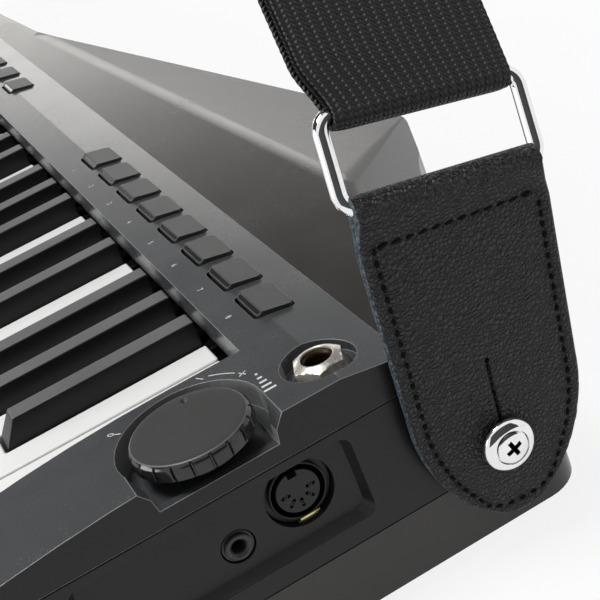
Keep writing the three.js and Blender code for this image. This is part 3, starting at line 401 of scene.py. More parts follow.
def from_grid(name, rows, look, angle, closed_rows=False, closed_columns=False, caps=False, **options):
    """A surface through a grid of points, in metres."""
    height, width = len(rows), len(rows[0])
    points = [tuple(point) for row in rows for point in row]
    faces = []
    for i in range(height if closed_rows else height - 1):
        for j in range(width if closed_columns else width - 1):
            a, b = (i + 1) % height, (j + 1) % width
            faces.append((i * width + j, i * width + b, a * width + b, a * width + j))
    if caps:
        faces.append(tuple(range(width))[::-1])
        faces.append(tuple((height - 1) * width + j for j in range(width)))
    mesh = bpy.data.meshes.new(name)
    mesh.from_pydata(points, [], faces)
    mesh.validate()
    tidy_normals(mesh)
    smooth(mesh, angle)
    return add(name, mesh, look, **options)


def tidy_normals(mesh):
    work = opened(mesh)
    bmesh.ops.remove_doubles(work, verts=work.verts, dist=1e-7)
    bmesh.ops.recalc_face_normals(work, faces=work.faces)
    written(work, mesh)


def axes(origin, along, across):
    """A frame whose Z runs along a direction."""
    along, across = Vector(along), Vector(across)
    side = (across - along * across.dot(along)).normalized()
    matrix = Matrix((side, along.cross(side), along)).transposed().to_4x4()
    matrix.translation = origin
    return matrix


def lathe(name, profile, matrix, look, sides, shape=None, angle=32.0, **options):
    """A turned piece from (radius, height) millimetres; shape can change the radius by angle."""
    rows = []
    for radius, height in profile:
        row = []
        for step in range(sides):
            at = 2 * math.pi * step / sides
            out = radius if shape is None else shape(radius, at)
            row.append(matrix @ (Vector((*around(out, at), height)) * MM))
        rows.append(row)
    from_grid(name, rows, look, closed_columns=True, angle=angle, **options)


def hoop(name, points, radius, look, sides, **options):
    """A closed loop of round bar through points in metres, with a radius in millimetres."""
    rows = []
    normal = None
    for slot, point in enumerate(points):
        along = (points[(slot + 1) % len(points)] - points[slot - 1]).normalized()
        if normal is None:
            normal = along.orthogonal().normalized()
        normal = (normal - along * normal.dot(along)).normalized()
        other = along.cross(normal)
        rows.append([point + (normal * math.cos(a) + other * math.sin(a)) * radius * MM
                     for a in (2 * math.pi * side / sides for side in range(sides))])
    from_grid(name, rows, look, closed_rows=True, closed_columns=True, angle=60.0, **options)


def slab(name, outline, matrix, low, high, look, bevel, **options):
    """A flat plate from an outline in millimetres."""
    work = bmesh.new()
    ring = [work.verts.new(matrix @ Vector((x * MM, y * MM, low * MM))) for x, y in outline]
    face = work.faces.new(ring)
    top = bmesh.ops.extrude_face_region(work, geom=[face])
    lift = matrix.to_3x3() @ Vector((0, 0, (high - low) * MM))
    for part in top["geom"]:
        if isinstance(part, bmesh.types.BMVert):
            part.co += lift
    bmesh.ops.recalc_face_normals(work, faces=work.faces)
    mesh = bpy.data.meshes.new(name)
    written(work, mesh)
    mesh.shade_smooth()
    obj = add(name, mesh, look, **options)
    broken_edges(obj, "edges", bevel, 2, CREASE_ANGLE).harden_normals = True


def oblong(half_wide, half_high):
    """The outline of a rectangle about its middle."""
    x, y = half_wide, half_high
    return [(-x, -y), (x, -y), (x, y), (-x, y)]


# The rigid shells, keys and buttons
TALL_EDGE = 2.0
CAP_CORNER = 1.9
CAP_RIM, CAP_SINK = 0.45, 0.15
WELL_LEFT, WELL_RIGHT = -436.0, -44.0
WELL_FRONT, WELL_BACK = 16.0, 30.0
RIDGE_ROUND, RIDGE_LENGTH, RIDGE_FRONT = 4.0, 30.0, 50.0
TAIL_ROUND = 10.0
WING_END = (-168.0, 126.0)
WING_END_SHIFT = (4.5, -5.6)
WING_END_RISE, WING_END_LOW = 3.2, 30.0
WING_END_SPREAD = 16.0
FOOT_TOP = 3.5


def is_upright(edge):
    """Whether an edge is tall and runs almost straight up."""
    length = edge.calc_length()
    return length > TALL_EDGE * MM and abs(edge.verts[0].co.z - edge.verts[1].co.z) > 0.95 * length


def button_cap(node):
    """A button whose front slope carries a dark glossy strip inside a bright rim."""
    obj = dressed(node, node + "_cap", 0.35, ["pad", "rim"], node, "button_plastic", 3)
    work = opened(obj.data)
    round_edges(work, [edge for edge in work.edges if is_upright(edge)], CAP_CORNER, 4)
    work.normal_update()
    slope = max((face for face in work.faces if face.normal.y < -0.3 and face.normal.z > 0.5),
                key=lambda face: face.calc_area())
    bmesh.ops.inset_region(work, faces=[slope], thickness=CAP_RIM * MM, depth=0.0)
    bmesh.ops.inset_region(work, faces=[slope], thickness=0.02 * MM, depth=-CAP_SINK * MM)
    slope.material_index = 1
    written(work, obj.data)


def key_top(node, dark):
    """A key: a black one's top gets a lighter grey as painted light, and a white one's tongue under the panel
    is painted dark as shade.
    """
    width = 0.6 if dark else 0.7
    look = ["black", "black_top"] if dark else ["white", "shadow"]
    obj = dressed(node, node + "_top", width, look, node, "black_key" if dark else "white_key", 3)
    behind = place(0, KEY_BACK, 0).y + 0.2 * MM
    for face in obj.data.polygons:
        if dark:
            marked = face.normal.z > 0.8 and face.center.y < behind
        else:
            marked = face.center.y > behind
        face.material_index = 1 if marked else 0


def is_tail_corner(edge):
    """Whether an edge is the upright one at the tail's back corner."""
    ends = [vertex.co - place(0, TAIL_CORNER, 0) for vertex in edge.verts]
    return all(end.xy.length < 4.0 * MM for end in ends) and abs(ends[0].z - ends[1].z) > 10.0 * MM


def is_ridge(edge):
    """Whether an edge is one of the long ridges round the wing's flat top."""
    middle = (edge.verts[0].co + edge.verts[1].co) / 2
    if len(edge.link_faces) != 2 or middle.y < place(0, RIDGE_FRONT, 0).y:
        return False
    first, second = (face.normal for face in edge.link_faces)
    sloping = min(first.z, second.z) > 0.6 and first.angle(second) > 0.1
    return sloping and edge.calc_length() >= RIDGE_LENGTH * MM


def soften_ridges(mesh):
    """Moves the wing's end corner to where the photo has it, and rounds the ridges and the tail's corner."""
    work = opened(mesh)
    for vertex in work.verts:
        away = (vertex.co - place(*WING_END, vertex.co.z / MM)).length
        near = math.exp(-0.5 * (away / (WING_END_SPREAD * MM)) ** 2)
        if near > 0.02:
            rise = WING_END_RISE if vertex.co.z > WING_END_LOW * MM else 0.0
            vertex.co += Vector((*WING_END_SHIFT, rise)) * near * MM
    work.normal_update()
    round_edges(work, [edge for edge in work.edges if is_ridge(edge)], RIDGE_ROUND, 10)
    round_edges(work, [edge for edge in work.edges if is_tail_corner(edge)], TAIL_ROUND, 8, clamp=True)
    written(work, mesh)
    mesh.shade_smooth()


def round_wells(mesh):
    """The holes that the buttons stand in have rounded corners, like the buttons."""
    work = opened(mesh)
    near, far = place(WELL_LEFT, WELL_FRONT, 0), place(WELL_RIGHT, WELL_BACK, 0)
    corners = []
    for edge in work.edges:
        start = edge.verts[0].co
        if is_upright(edge) and near.x < start.x < far.x and near.y < start.y < far.y:
            corners.append(edge)
    round_edges(work, corners, CAP_CORNER, 4)
    written(work, mesh)


def panel_walls(mesh):
    """Painted light on the panel: its tail end takes the case's dark look as painted shade, and the walls of
    the knob's pocket take the paler rim look as painted highlight.
    """
    knob_middle = place(*KNOB, 0).xy
    for face in mesh.polygons:
        if face.normal.x > 0.9 and face.center.x > place(-PANEL_END, 0, 0).x:
            face.material_index = 2
        elif abs(face.normal.z) < 0.5 and (face.center.xy - knob_middle).length < POCKET_REACH * MM:
            face.material_index = 1


# The panel's rims and pocket walls carry a painted highlight, and its tail end painted shade
panel = dressed("top_panel", "panel_shell", 0.5, ["panel", "panel_highlight", "case"], ROOT, "panel_paint", 3,
                math.radians(7.0), painted_rims=True)
round_wells(panel.data)
panel_walls(panel.data)
dressed("module_case", "case_shell", 0.4, "case", ROOT, "case_plastic", 3)
body = dressed("body", "body_shell", 1.5, ["body", "rubber"], ROOT, "body_paint", 4, math.radians(14.0))
soften_ridges(body.data)
for face in body.data.polygons:
    if face.center.z < FOOT_TOP * MM:
        face.material_index = 1
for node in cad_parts:
    if node.startswith("key_"):
        key_top(node, "sharp" in node)
    elif "_button_" in node and not node.startswith("strap"):
        button_cap(node)


# Volume knob
FLUTES = 20
FLUTE_POINTS = (
    (-1.6, 0.0), (-1.25, 0.35), (-0.6, 1.0), (0.0, 1.0), (0.6, 1.0), (1.25, 0.35),
    (1.6, 0.0), (4.0, 0.0), (7.0, 0.0), (9.0, 0.0), (11.0, 0.0), (14.0, 0.0),
)
KNOB_SIDE = (
    (3.0, -10.9, 0.0), (3.0, -4.8, 0.0), (15.6, -4.8, 0.0), (16.1, -4.7, 0.5), (16.4, -4.3, 0.7),
    (16.4, -2.8, 0.7), (16.4, -1.2, 0.7), (16.3, -0.95, 0.6), (15.85, -0.45, 0.35), (15.6, -0.2, 0.0),
)
KNOB_FACE = [(15.6, -0.2), (15.45, -0.06), (15.2, 0.0), (13.8, 0.0)]
KNOB_FACE += [(13.6 - 0.2 * step, 0.0) for step in range(15)]
KNOB_FACE += [(9.0, 0.0), (6.0, 0.0), (3.0, 0.0), (0.01, 0.0)]
KNOB_HIGHLIGHT_RING = ((15.62, -0.2), (15.48, -0.05), (15.24, 0.02))
DIMPLE_TURN, DIMPLE_OUT = 2.86, 12.2
DIMPLE_RADIUS, DIMPLE_DEPTH = 1.15, 0.7
knob_options = {"body": "volume_knob", "slot": "knob_plastic"}


def knob_ring(radius, rise, groove):
    """A ring of points round the knob's side, with a part of the groove's depth at each grip groove."""
    centre = place(*KNOB, KNOB_TOP + rise)
    row = []
    for flute in range(FLUTES):
        for offset, share in FLUTE_POINTS:
            at = math.radians(flute * 360.0 / FLUTES + offset)
            row.append(centre + Vector((*around(radius - groove * share, at), 0)) * MM)
    return row


def knob_face_ring(radius, rise):
    """A ring of points on the knob's face, sunk where the dimple is."""
    dimple_x, dimple_y = around(DIMPLE_OUT, DIMPLE_TURN)
    row = []
    for step in range(360):
        x, y = around(radius, math.radians(step))
        away = math.hypot(x - dimple_x, y - dimple_y)
        sink = DIMPLE_DEPTH * max(0.0, 1 - (away / DIMPLE_RADIUS) ** 2) ** 0.6
        row.append(place(KNOB[0] + x, KNOB[1] + y, KNOB_TOP + rise - sink))
    return row


from_grid("knob_skirt", [knob_ring(*ring) for ring in KNOB_SIDE], "rim", closed_columns=True, angle=24.0,
          replaces=("volume_knob",), **knob_options)
from_grid("knob_face", [knob_face_ring(*ring) for ring in KNOB_FACE], "knob", closed_columns=True, angle=50.0,
          **knob_options)
# A thin paler ring round the knob's face, as a painted highlight
lathe("knob_highlight_ring", KNOB_HIGHLIGHT_RING, Matrix.Translation(place(*KNOB, KNOB_TOP)), "black_top", 180, **knob_options)


# Output jack, with heights from the washer's seat
JACK_WELL, WASHER_GAP = 4.6, 0.3
NUT_FLAT, NUT_TURN = 6.35, 0.35
jack_axes = Matrix.Translation(place(*JACK, PANEL_TOP - JACK_WELL + WASHER_GAP))


def hexagon(radius, at):
    """A turned nut whose side is cut to six flats, with a chamfered corner at the top."""
    sixth = math.pi / 3
    flat = NUT_FLAT / math.cos((at + NUT_TURN) % sixth - sixth / 2)
    return min(radius, flat) if radius > 5.0 else radius


# The sleeve and the bore's contact are brass painted dark as shade
lathe("output_jack_sleeve", [
    (3.25, -30.9), (3.25, 3.3), (3.5, 3.9), (3.85, 4.25), (4.1, 4.3), (4.25, 4.1), (4.25, -9.9), (7.5, -10.0),
    (7.5, -32.9), (3.3, -33.5),
], jack_axes, "bronze", 72, slot="chrome_metal", replaces=("output_jack",))
lathe("output_jack_washer", [(4.8, 0.0), (4.8, 0.7), (7.7, 0.7), (8.0, 0.45), (8.0, 0.0)],
      jack_axes, "chrome", 72, slot="chrome_metal")
lathe("output_jack_bore_contact", [(3.15, -6.0), (3.15, 2.0), (2.9, 2.0), (2.9, -6.0), (0.01, -6.0)],
      jack_axes, "bronze", 48, slot="chrome_metal")
lathe("output_jack_nut", [
    (4.28, 0.75), (6.6, 0.75), (7.3, 1.15), (7.33, 3.6), (6.9, 3.88), (6.2, 4.28), (5.5, 4.66),
    (5.0, 4.91), (4.75, 5.0), (4.5, 4.99), (4.33, 4.85), (4.28, 4.4),
], jack_axes, "nickel", 216, shape=hexagon, angle=24.0, slot="chrome_metal")


# Sockets in the tail end, with heights from their own faces
FACE = -3.9
PIN_CIRCLE = 3.5
AUX_JACK = (-2.7, -19.4, SOCKET_Z - 4.8)


def tail_axes(out, y, z):
    """A frame at a point of the tail end, with its Z outward."""
    return axes(place(out, y, z), (1, 0, 0), (0, 1, 0))


socket_axes = tail_axes(FACE, 0, SOCKET_Z)
lathe("midi_socket_shell", [
    (9.2, -2.4), (9.2, -1.55), (9.15, -1.5), (7.9, -1.5), (7.9, -0.3), (7.7, -0.05), (7.45, 0.0),
    (7.35, -0.1), (7.35, -2.4), (5.98, -2.4), (5.98, -0.12), (5.86, 0.0), (5.6, 0.0), (0.02, 0.0),
], socket_axes, "nylon", 96, slot="socket_plastic", replaces=("socket_board",))
# The groove's floor is a dark ring painted as shade
lathe("midi_socket_groove_floor", [(7.33, -0.35), (7.33, -2.35), (6.0, -2.35), (6.0, -0.35)],
      socket_axes, "shadow", 96, slot="socket_plastic")
# Each pin hole is a dark plate painted as shade, with a glossy contact ring
for slot in range(5):
    at = math.pi + slot * math.pi / 4
    y, z = around(PIN_CIRCLE, at)
    pin_axes = axes(place(FACE, y, SOCKET_Z + z), (1, 0, 0), (0, *around(1.0, at)))
    outline = []
    for step in range(32):
        wide, high = around(1.0, 2 * math.pi * step / 32)
        waist = 0.42 if 0.55 < abs(wide) < 0.9 else 0.55
        outline.append((1.35 * wide, waist * math.copysign(min(1.0, abs(high) * 2), high)))
    slab(f"midi_socket_pin_hole_{slot + 1}", outline, pin_axes, -0.4, 0.03, "shadow", 0.02,
         slot="socket_plastic")
    lathe(f"midi_socket_contact_ring_{slot + 1}", [(0.3, 0.02), (0.3, 0.09), (0.5, 0.09), (0.5, 0.02)],
          pin_axes, "rim", 20, slot="socket_plastic")
# The key notch is a dark plate painted as shade
slab("midi_socket_key", [(-1.3, -1.0), (1.3, -1.0), (1.3, 0.9), (-1.3, 0.9)],
     tail_axes(FACE, 0, SOCKET_Z + 5.25), -1.2, 0.04, "shadow", 0.03, slot="socket_plastic")
slab("midi_socket_contact", oblong(2.9, 0.36), tail_axes(FACE - 0.7, 0.6, SOCKET_Z - 8.35),
     -4.0, 0.2, "brass", 0.1, slot="socket_plastic")
slab("socket_board_edge", oblong(3.6, 0.36), tail_axes(FACE - 0.8, 0.8, SOCKET_Z - 9.15),
     -6.0, 0.0, "board", 0.08, slot="socket_plastic")

lathe("aux_jack_shell", [
    (4.4, -10.0), (4.4, -0.9), (4.25, -0.7), (3.75, -0.7), (3.65, 0.3), (3.3, 0.52), (2.6, 0.5), (2.15, 0.2),
    (1.85, -0.3), (1.8, -8.5), (0.02, -8.5),
], tail_axes(*AUX_JACK), "socket", 72, slot="socket_plastic")


# Strap buttons with cross-headed screws
SCREW_SIDES = 180
SCREW_TURN = 0.35
SCREW_SEAT, SCREW_LOW, SCREW_DOME = 9.2, 8.7, 1.05
CROSS_DEPTH, CROSS_ARM, CROSS_REACH = 1.4, 0.6, 2.3


def screw_height(x, y):
    """How far the domed screw head stands out at a point, less the cross cut into it."""
    along = abs(x * math.cos(SCREW_TURN) + y * math.sin(SCREW_TURN))
    across = abs(y * math.cos(SCREW_TURN) - x * math.sin(SCREW_TURN))
    arm = clamped((CROSS_ARM - min(along, across)) / 0.14)
    reach = clamped((CROSS_REACH - max(along, across)) / 0.16)
    dome = SCREW_DOME * math.sqrt(max(0.0, 1 - (math.hypot(x, y) / 4.5) ** 2))
    return SCREW_SEAT + dome - CROSS_DEPTH * arm * reach


def strap_button(name, matrix, node):
    """A turned button with a waist, and the screw in the dish of its head."""
    lathe(name, [
        (0.02, 0.0), (6.6, 0.0), (6.6, 1.3), (6.2, 1.6), (4.4, 1.6), (4.3, 4.0), (4.6, 6.0), (5.6, 6.6),
        (6.9, 6.75), (7.28, 7.2), (7.3, 7.7), (6.95, 8.35), (6.1, 9.0), (5.3, 9.35), (4.75, 9.5),
        (4.6, 9.2), (4.45, 8.7), (0.02, 8.6),
    ], matrix, "chrome", 96, slot="chrome_metal", replaces=(node,))
    radii = [4.3, 4.28, 4.1, 3.6, 3.1, 2.8] + [2.7 - 0.13 * step for step in range(20)] + [0.1, 0.01]
    rows = []
    for slot, radius in enumerate(radii):
        row = []
        for step in range(SCREW_SIDES):
            x, y = around(radius, 2 * math.pi * step / SCREW_SIDES)
            row.append(matrix @ (Vector((x, y, screw_height(x, y) if slot else SCREW_LOW)) * MM))
        rows.append(row)
    screw = from_grid(name + "_screw", rows, ["chrome", "shadow"], closed_columns=True, angle=38.0,
                      slot="chrome_metal")
    # The floor of the cross is painted dark as shade
    inward = matrix.inverted()
    for face in screw.data.polygons:
        middle = inward @ face.center
        if middle.z < 9.6 * MM and middle.xy.length < 2.6 * MM:
            face.material_index = 1


tail_face = tail_axes(*STRAP_BUTTON)
neck_face = axes(place(*NECK_BUTTON), (-1, 0, 0), (0, -1, 0))
strap_button("strap_button_head_tail", tail_face, "strap_button_tail")
strap_button("strap_button_head_neck", neck_face, "strap_button_neck")


# Leather ends, measured from the middle of the strap button
LEAN = 0.087
RING_TURN = 0.144
HEM_TURN = 0.118
RING_TILT = 0.426
RING_SLIDE = 0.3
OFFSET = 0.8
DRIFT = 0.7
LEATHER_TOP = 71.6
SHOULDER = 14.0
LEATHER_FOOT, FOOT_ROUND = 21.5, -4.0
LEATHER_HALF, LEATHER_SPREAD = 23.9, 1.6
LEATHER_LOW, LEATHER_THICK = 1.9, 3.8
HEM_R = 3.9
HEM_DROP = 9.0
HEM_HALF = 24.2
HEM_TAPER = 12.0
STITCH_INSET = 3.3
SEAM = LEATHER_TOP - 8.4
STITCH_LENGTH = 2.6
GROOVE_DEPTH = 0.3
PUFF = 0.35
SLIT_X, SLIT_HALF, SLIT_DEPTH = OFFSET * 0.2, 0.42, 1.5
SLIT_LOW, SLIT_TOP = 4.0, 24.6
RAW_EDGE = (
    (0.0, -0.1), (0.1, 0.18), (0.3, 0.3), (0.42, 0.22), (0.5, -0.6), (0.58, 0.22), (0.7, 0.3), (0.9, 0.18),
    (1.0, -0.1),
)
HEM_END = (
    (0.0, -0.1), (0.06, 0.15), (0.3, 0.3), (0.48, 0.2), (0.52, -0.25), (0.56, 0.2), (0.8, 0.3), (1.0, 0.1),
)
tail_end = tail_face @ Matrix.Rotation(-LEAN, 4, "Z")
neck_end = neck_face @ Matrix.Rotation(LEAN, 4, "Z")


def cubic(share, handles, start=0.0):
    """The value or point at a share of the way along a curve with four handles."""
    rest = 1 - share
    weights = (rest ** 3, 3 * share * rest ** 2, 3 * share ** 2 * rest, share ** 3)
    return sum((handle * weight for handle, weight in zip(handles, weights)), start)


def leather_half(height):
    """Half the width of the tongue at a height above the button's middle."""
    if height < SHOULDER:
        for step in range(121):
            x = cubic(step / 120, (LEATHER_HALF, LEATHER_HALF, 11.5, 0.0))
            if cubic(step / 120, (SHOULDER, -4.0, -LEATHER_FOOT, -LEATHER_FOOT)) <= height:
                break
        return x
    widest = LEATHER_HALF + LEATHER_SPREAD * (height - SHOULDER) / (LEATHER_TOP - 21.0)
    return widest - (widest - HEM_HALF) * eased((height - LEATHER_TOP + HEM_TAPER) / HEM_TAPER)


def above_shoulder(height):
    return max(0.0, (height - SHOULDER) / (LEATHER_TOP - SHOULDER))


def leather_pair(matrix, share, height, half, tilt, hem):
    """The points on the front and the back of the tongue at a share of its half width and a height."""
    x = share * half
    edge = half * (1 - abs(share))
    if height < FOOT_ROUND:
        edge = min(edge, (LEATHER_FOOT + height) * 0.92 + 0.012 * x * x)
    x += OFFSET + DRIFT * above_shoulder(height)
    y = height - tilt * (x - OFFSET) * above_shoulder(height) ** 3
    swell = 0.0
    if hem:
        swell = (HEM_R - LEATHER_THICK / 2) * eased((height - (LEATHER_TOP - HEM_DROP)) / HEM_DROP)
    round_edge = 0.55 * max(0.0, 1 - edge / 0.9) ** 2
    groove = 0.0
    if height < SEAM + 0.4:
        groove = GROOVE_DEPTH * math.exp(-((edge - STITCH_INSET) / 0.6) ** 2)
    if edge > STITCH_INSET:
        groove = max(groove, GROOVE_DEPTH * math.exp(-((height - SEAM) / 0.7) ** 2))
    puff = PUFF * min(1.0, max(0.0, edge - STITCH_INSET) / 7.0)
    slit = 0.0
    if SLIT_LOW < height < SLIT_TOP:
        slit = SLIT_DEPTH * max(0.0, 1 - abs(x - SLIT_X) / SLIT_HALF) * min(1.0, (SLIT_TOP - height) / 1.5)
    front_z = LEATHER_LOW + LEATHER_THICK + swell + puff - round_edge - groove - slit
    back_z = LEATHER_LOW - swell + round_edge
    return matrix @ (Vector((x, y, front_z)) * MM), matrix @ (Vector((x, y, back_z)) * MM)


def across_edge(start, end, outward, profile):
    """Points from one face to the other over a raw edge, pushed outward by a profile."""
    return [start.lerp(end, share) + outward * push * MM for share, push in profile]


def leather_end(name, matrix, node, tilt, hem):
    """Two layers of leather in one closed form: a puffy front, round edges and a hem over the bar."""
    columns = [-1.0, -0.99, -0.975, -0.955, -0.93, -0.9, -0.885, -0.87, -0.855, -0.84, -0.8, -0.74, -0.66,
               -0.56, -0.46, -0.36, -0.26, -0.18, -0.11, -0.06, -0.035, -0.022, -0.012, 0.0]
    columns += [-share for share in columns[-2::-1]]
    heights = [-21.49, -21.3, -20.9, -20.3, -19.5, -18.9, -18.3, -17.6, -16.8, -16.0]
    heights += [-15.2 + 0.8 * step for step in range(120)]
    heights = [height for height in heights if height < LEATHER_TOP - 0.5] + [LEATHER_TOP]
    edges = {"look": "edge", "angle": 60.0, "slot": "strap_leather"}
    front, cap, back = [], [], []
    for height in heights:
        half = leather_half(height)
        pairs = [leather_pair(matrix, share, height, half, tilt, hem) for share in columns]
        front.append([pair[0] for pair in pairs])
        back.append([pair[1] for pair in pairs])
    if hem:
        for step in range(1, 12):
            at = math.pi * step / 12
            row = []
            for share in columns:
                x = share * leather_half(LEATHER_TOP) + OFFSET + DRIFT
                y = LEATHER_TOP - tilt * (x - OFFSET) + HEM_R * math.sin(at)
                z = LEATHER_LOW + LEATHER_THICK / 2 + HEM_R * math.cos(at)
                row.append(matrix @ (Vector((x, y, z)) * MM))
            cap.append(row)
    from_grid(name, front + cap + back[::-1], "leather", angle=70.0, slot="strap_leather", replaces=(node,))
    for side in (0, len(columns) - 1):
        outward = (matrix.to_3x3() @ Vector((math.copysign(1, side - 1), 0, 0))).normalized()
        strip = [across_edge(a[side], b[side], outward, RAW_EDGE) for a, b in zip(front[::-1], back[::-1])]
        edge_name = f"{name}_raw_edge_{2 if side else 1}"
        from_grid(edge_name, strip, **edges)
        if hem:
            middle = front[-1][side].lerp(back[-1][side], 0.5) + outward * 0.2 * MM
            round_end = [front[-1][side]] + [row[side] for row in cap] + [back[-1][side]]
            fan = [across_edge(point, middle, outward, HEM_END) for point in round_end]
            from_grid(edge_name + "_hem", fan, **edges)
    outward = (matrix.to_3x3() @ Vector((0, -1, 0))).normalized()
    foot = [across_edge(a, b, outward, RAW_EDGE) for a, b in zip(front[0], back[0])]
    from_grid(name + "_raw_edge_foot", foot, **edges)


def slit_hole(name, matrix):
    """A shallow disc painted dark as shade, standing for the small punched hole where the slit for the button
    ends.
    """
    face = LEATHER_LOW + LEATHER_THICK + PUFF + 0.01
    at = matrix @ Matrix.Translation(Vector((SLIT_X, SLIT_TOP, face)) * MM)
    lathe(name, [(0.01, 0.02), (0.6, 0.02), (0.85, -0.1)], at, "shadow", 32, slot="strap_leather")


def stitch_runs():
    """The seam's two runs of plan points, each with its thread's thickness, stitch length and slant."""
    left = []
    for step in range(400):
        height = SEAM - step * 0.25
        if height < -13.0:
            break
        left.append((STITCH_INSET - leather_half(height), height))
    reach, low_start = -left[-1][0], left[-1][1]
    low = []
    for step in range(1, 60):
        at = math.pi * step / 60
        dip = (STITCH_INSET - LEATHER_FOOT - low_start) * math.sin(at) ** 0.8
        low.append((-reach * math.cos(at), low_start + dip))
    right = [(-x, y) for x, y in left[::-1]]
    crossing = [(x * 0.5, SEAM) for x in range(-42, 43)]
    return (left + low + right, 1.0, 0.62, 0.0), (crossing, 1.35, 0.96, 0.35)


def stitch(matrix, start, end, thick, base):
    """The corners and faces of one arched stitch; base counts the corners before it."""
    along = (end - start).normalized()
    side = Vector((-along.y, along.x, 0))
    face = LEATHER_LOW + LEATHER_THICK - 0.1
    points, faces = [], []
    steps, sides = 7, 8
    for step in range(steps):
        share = step / (steps - 1)
        arch = math.sin(math.pi * share)
        radius = thick * (0.22 + 0.26 * arch ** 0.5)
        centre = start.lerp(end, share) + Vector((0, 0, face - 0.15 + 0.25 * arch ** 0.6))
        for turn_step in range(sides):
            at = 2 * math.pi * turn_step / sides
            offset = side * math.cos(at) * radius + Vector((0, 0, 1)) * math.sin(at) * radius * 0.8
            points.append(tuple(matrix @ ((centre + offset) * MM)))
            if step:
                here, beside = base + step * sides + turn_step, base + step * sides + (turn_step + 1) % sides
                faces.append((here - sides, beside - sides, beside, here))
    return points, faces


def stitches(name, matrix, tilt):
    """Thread stitches inside the tongue's edge and across it below the hem."""
    points, faces = [], []
    for run, thick, reach, slant in stitch_runs():
        travelled, start = 0.0, None
        for (x0, y0), (x1, y1) in zip(run, run[1:]):
            share_up = above_shoulder(y0)
            travelled += math.hypot(x1 - x0, y1 - y0)
            x, y = x0 + OFFSET + DRIFT * share_up, y0 - tilt * x0 * share_up ** 3
            if start is None:
                start = Vector((x, y - slant, 0))
                travelled = 0.0
            elif travelled > STITCH_LENGTH:
                end = start.lerp(Vector((x, y + slant, 0)), reach)
                more_points, more_faces = stitch(matrix, start, end, thick, len(points))
                points += more_points
                faces += more_faces
                start = None
    mesh = bpy.data.meshes.new(name)
    mesh.from_pydata(points, [], faces)
    mesh.shade_smooth()
    add(name, mesh, "thread", slot="strap_leather")


leather_end("strap_leather_tail_tongue", tail_end, "strap_leather_tail", HEM_TURN, True)
leather_end("strap_leather_neck_tongue", neck_end, "strap_leather_neck", 0.0, False)
slit_hole("strap_slit_hole_tail", tail_end)
slit_hole("strap_slit_hole_neck", neck_end)
stitches("strap_stitches_tail", tail_end, HEM_TURN)
stitches("strap_stitches_neck", neck_end, 0.0)


# Ring
RING_W, RING_H, WIRE, RING_CORNER = 56.0, 26.6, 2.0, 4.2
ring_middle = LEATHER_LOW + LEATHER_THICK / 2
ring_place = Vector((
    OFFSET + RING_SLIDE * math.cos(RING_TURN), LEATHER_TOP - RING_SLIDE * math.sin(RING_TURN), ring_middle,
))
ring_frame = (tail_end @ Matrix.Translation(ring_place * MM) @ Matrix.Rotation(-RING_TURN, 4, "Z")
              @ Matrix.Rotation(-RING_TILT, 4, "X"))


def ring_points():
    """The middle line of the ring's wire, with its four bent corners."""
    half, high, corner = RING_W / 2 - WIRE, RING_H - 2 * WIRE, RING_CORNER
    points = []
    for cx, cy, start in ((half - corner, corner, -90), (half - corner, high - corner, 0),
                          (corner - half, high - corner, 90), (corner - half, corner, 180)):
        for step in range(11):
            at = math.radians(start + step * 9)
            x, y = around(corner, at)
            points.append(ring_frame @ (Vector((cx + x, cy + y, 0)) * MM))
    return points


hoop("strap_ring_wire", ring_points(), WIRE, "chrome", 28, slot="chrome_metal", replaces=("strap_ring",))


# Webbing
WEB_LEAN = Vector((-0.4, 0.06, 1.0))
WEB_SLIDE, WEB_OPEN, WEB_FOLD, WEB_REACH = -0.1, 26.0, 52.0, 425.0
WEB_PINCHED, WEB_HALF = 22.8, 24.4
WEB_FLARE = 13.0
WEB_DRIFT = 1.5
WEB_CLOSE = 1.25
WEB_GAP, WEB_THIN, NECK_GAP = 0.3, 1.0, 0.4
WEB_LAYER = WIRE + WEB_GAP + WEB_THIN
SEWN = 30.0
bar_across = (ring_frame.to_3x3() @ Vector((1, 0, 0))).normalized()
upper_bar = ring_frame @ Vector((0, (RING_H - 2 * WIRE) * MM, 0)) - bar_across * WEB_SLIDE * MM
neck_rise = LEATHER_LOW + LEATHER_THICK + WEB_GAP + WEB_THIN + NECK_GAP
neck_point = neck_end @ (Vector((OFFSET, LEATHER_TOP - SEWN, neck_rise)) * MM)
neck_across = (neck_end.to_3x3() @ Vector((-1, 0, 0))).normalized()
web_rise = WEB_LEAN.normalized()
web_out = bar_across.cross(web_rise).normalized()
web_under = bar_across.cross(web_out)


def web_at(height, out):
    return upper_bar + (web_rise * height + web_out * out) * MM


def layer_gap(height):
    """How far each layer stands from the middle of the fold at a height above the bar."""
    return WEB_LAYER + (WEB_CLOSE - WEB_LAYER) * eased((height - WEB_OPEN) / (WEB_FOLD - WEB_OPEN))


def web_path():
    """Middle points and directions across, from the sewn end round the bar and over to the neck."""
    path = []
    rises = [WEB_FOLD * (1 - step / 30) for step in range(30)]
    for height in rises:
        path.append((web_at(height, -layer_gap(height)), bar_across))
    for step in range(13):
        at = math.pi + math.pi * step / 12
        away, under = around(WEB_LAYER * MM, at)
        path.append((upper_bar + web_out * away - web_under * under, bar_across))
    for height in rises[::-1]:
        path.append((web_at(height, layer_gap(height)), bar_across))
    up = Vector((0, 0, 1)) * MM
    start = path[-1][0]
    finish = neck_point + up * SEWN
    handles = (start, start + web_rise * WEB_REACH * MM, finish + up * WEB_REACH, finish)
    for step in range(1, 161):
        share = step / 160
        path.append((cubic(share, handles, Vector()), bar_across.lerp(neck_across, share).normalized()))
    path.append((neck_point, neck_across))
    return path


def resampled(path, pitch):
    """The same path with points at an even pitch."""
    result = [path[0]]
    left = pitch
    for (a, ua), (b, ub) in zip(path, path[1:]):
        length = (b - a).length
        at = left
        while at < length:
            share = at / length
            result.append((a.lerp(b, share), ua.lerp(ub, share).normalized()))
            at += pitch
        left = at - length
    result.append(path[-1])
    return result


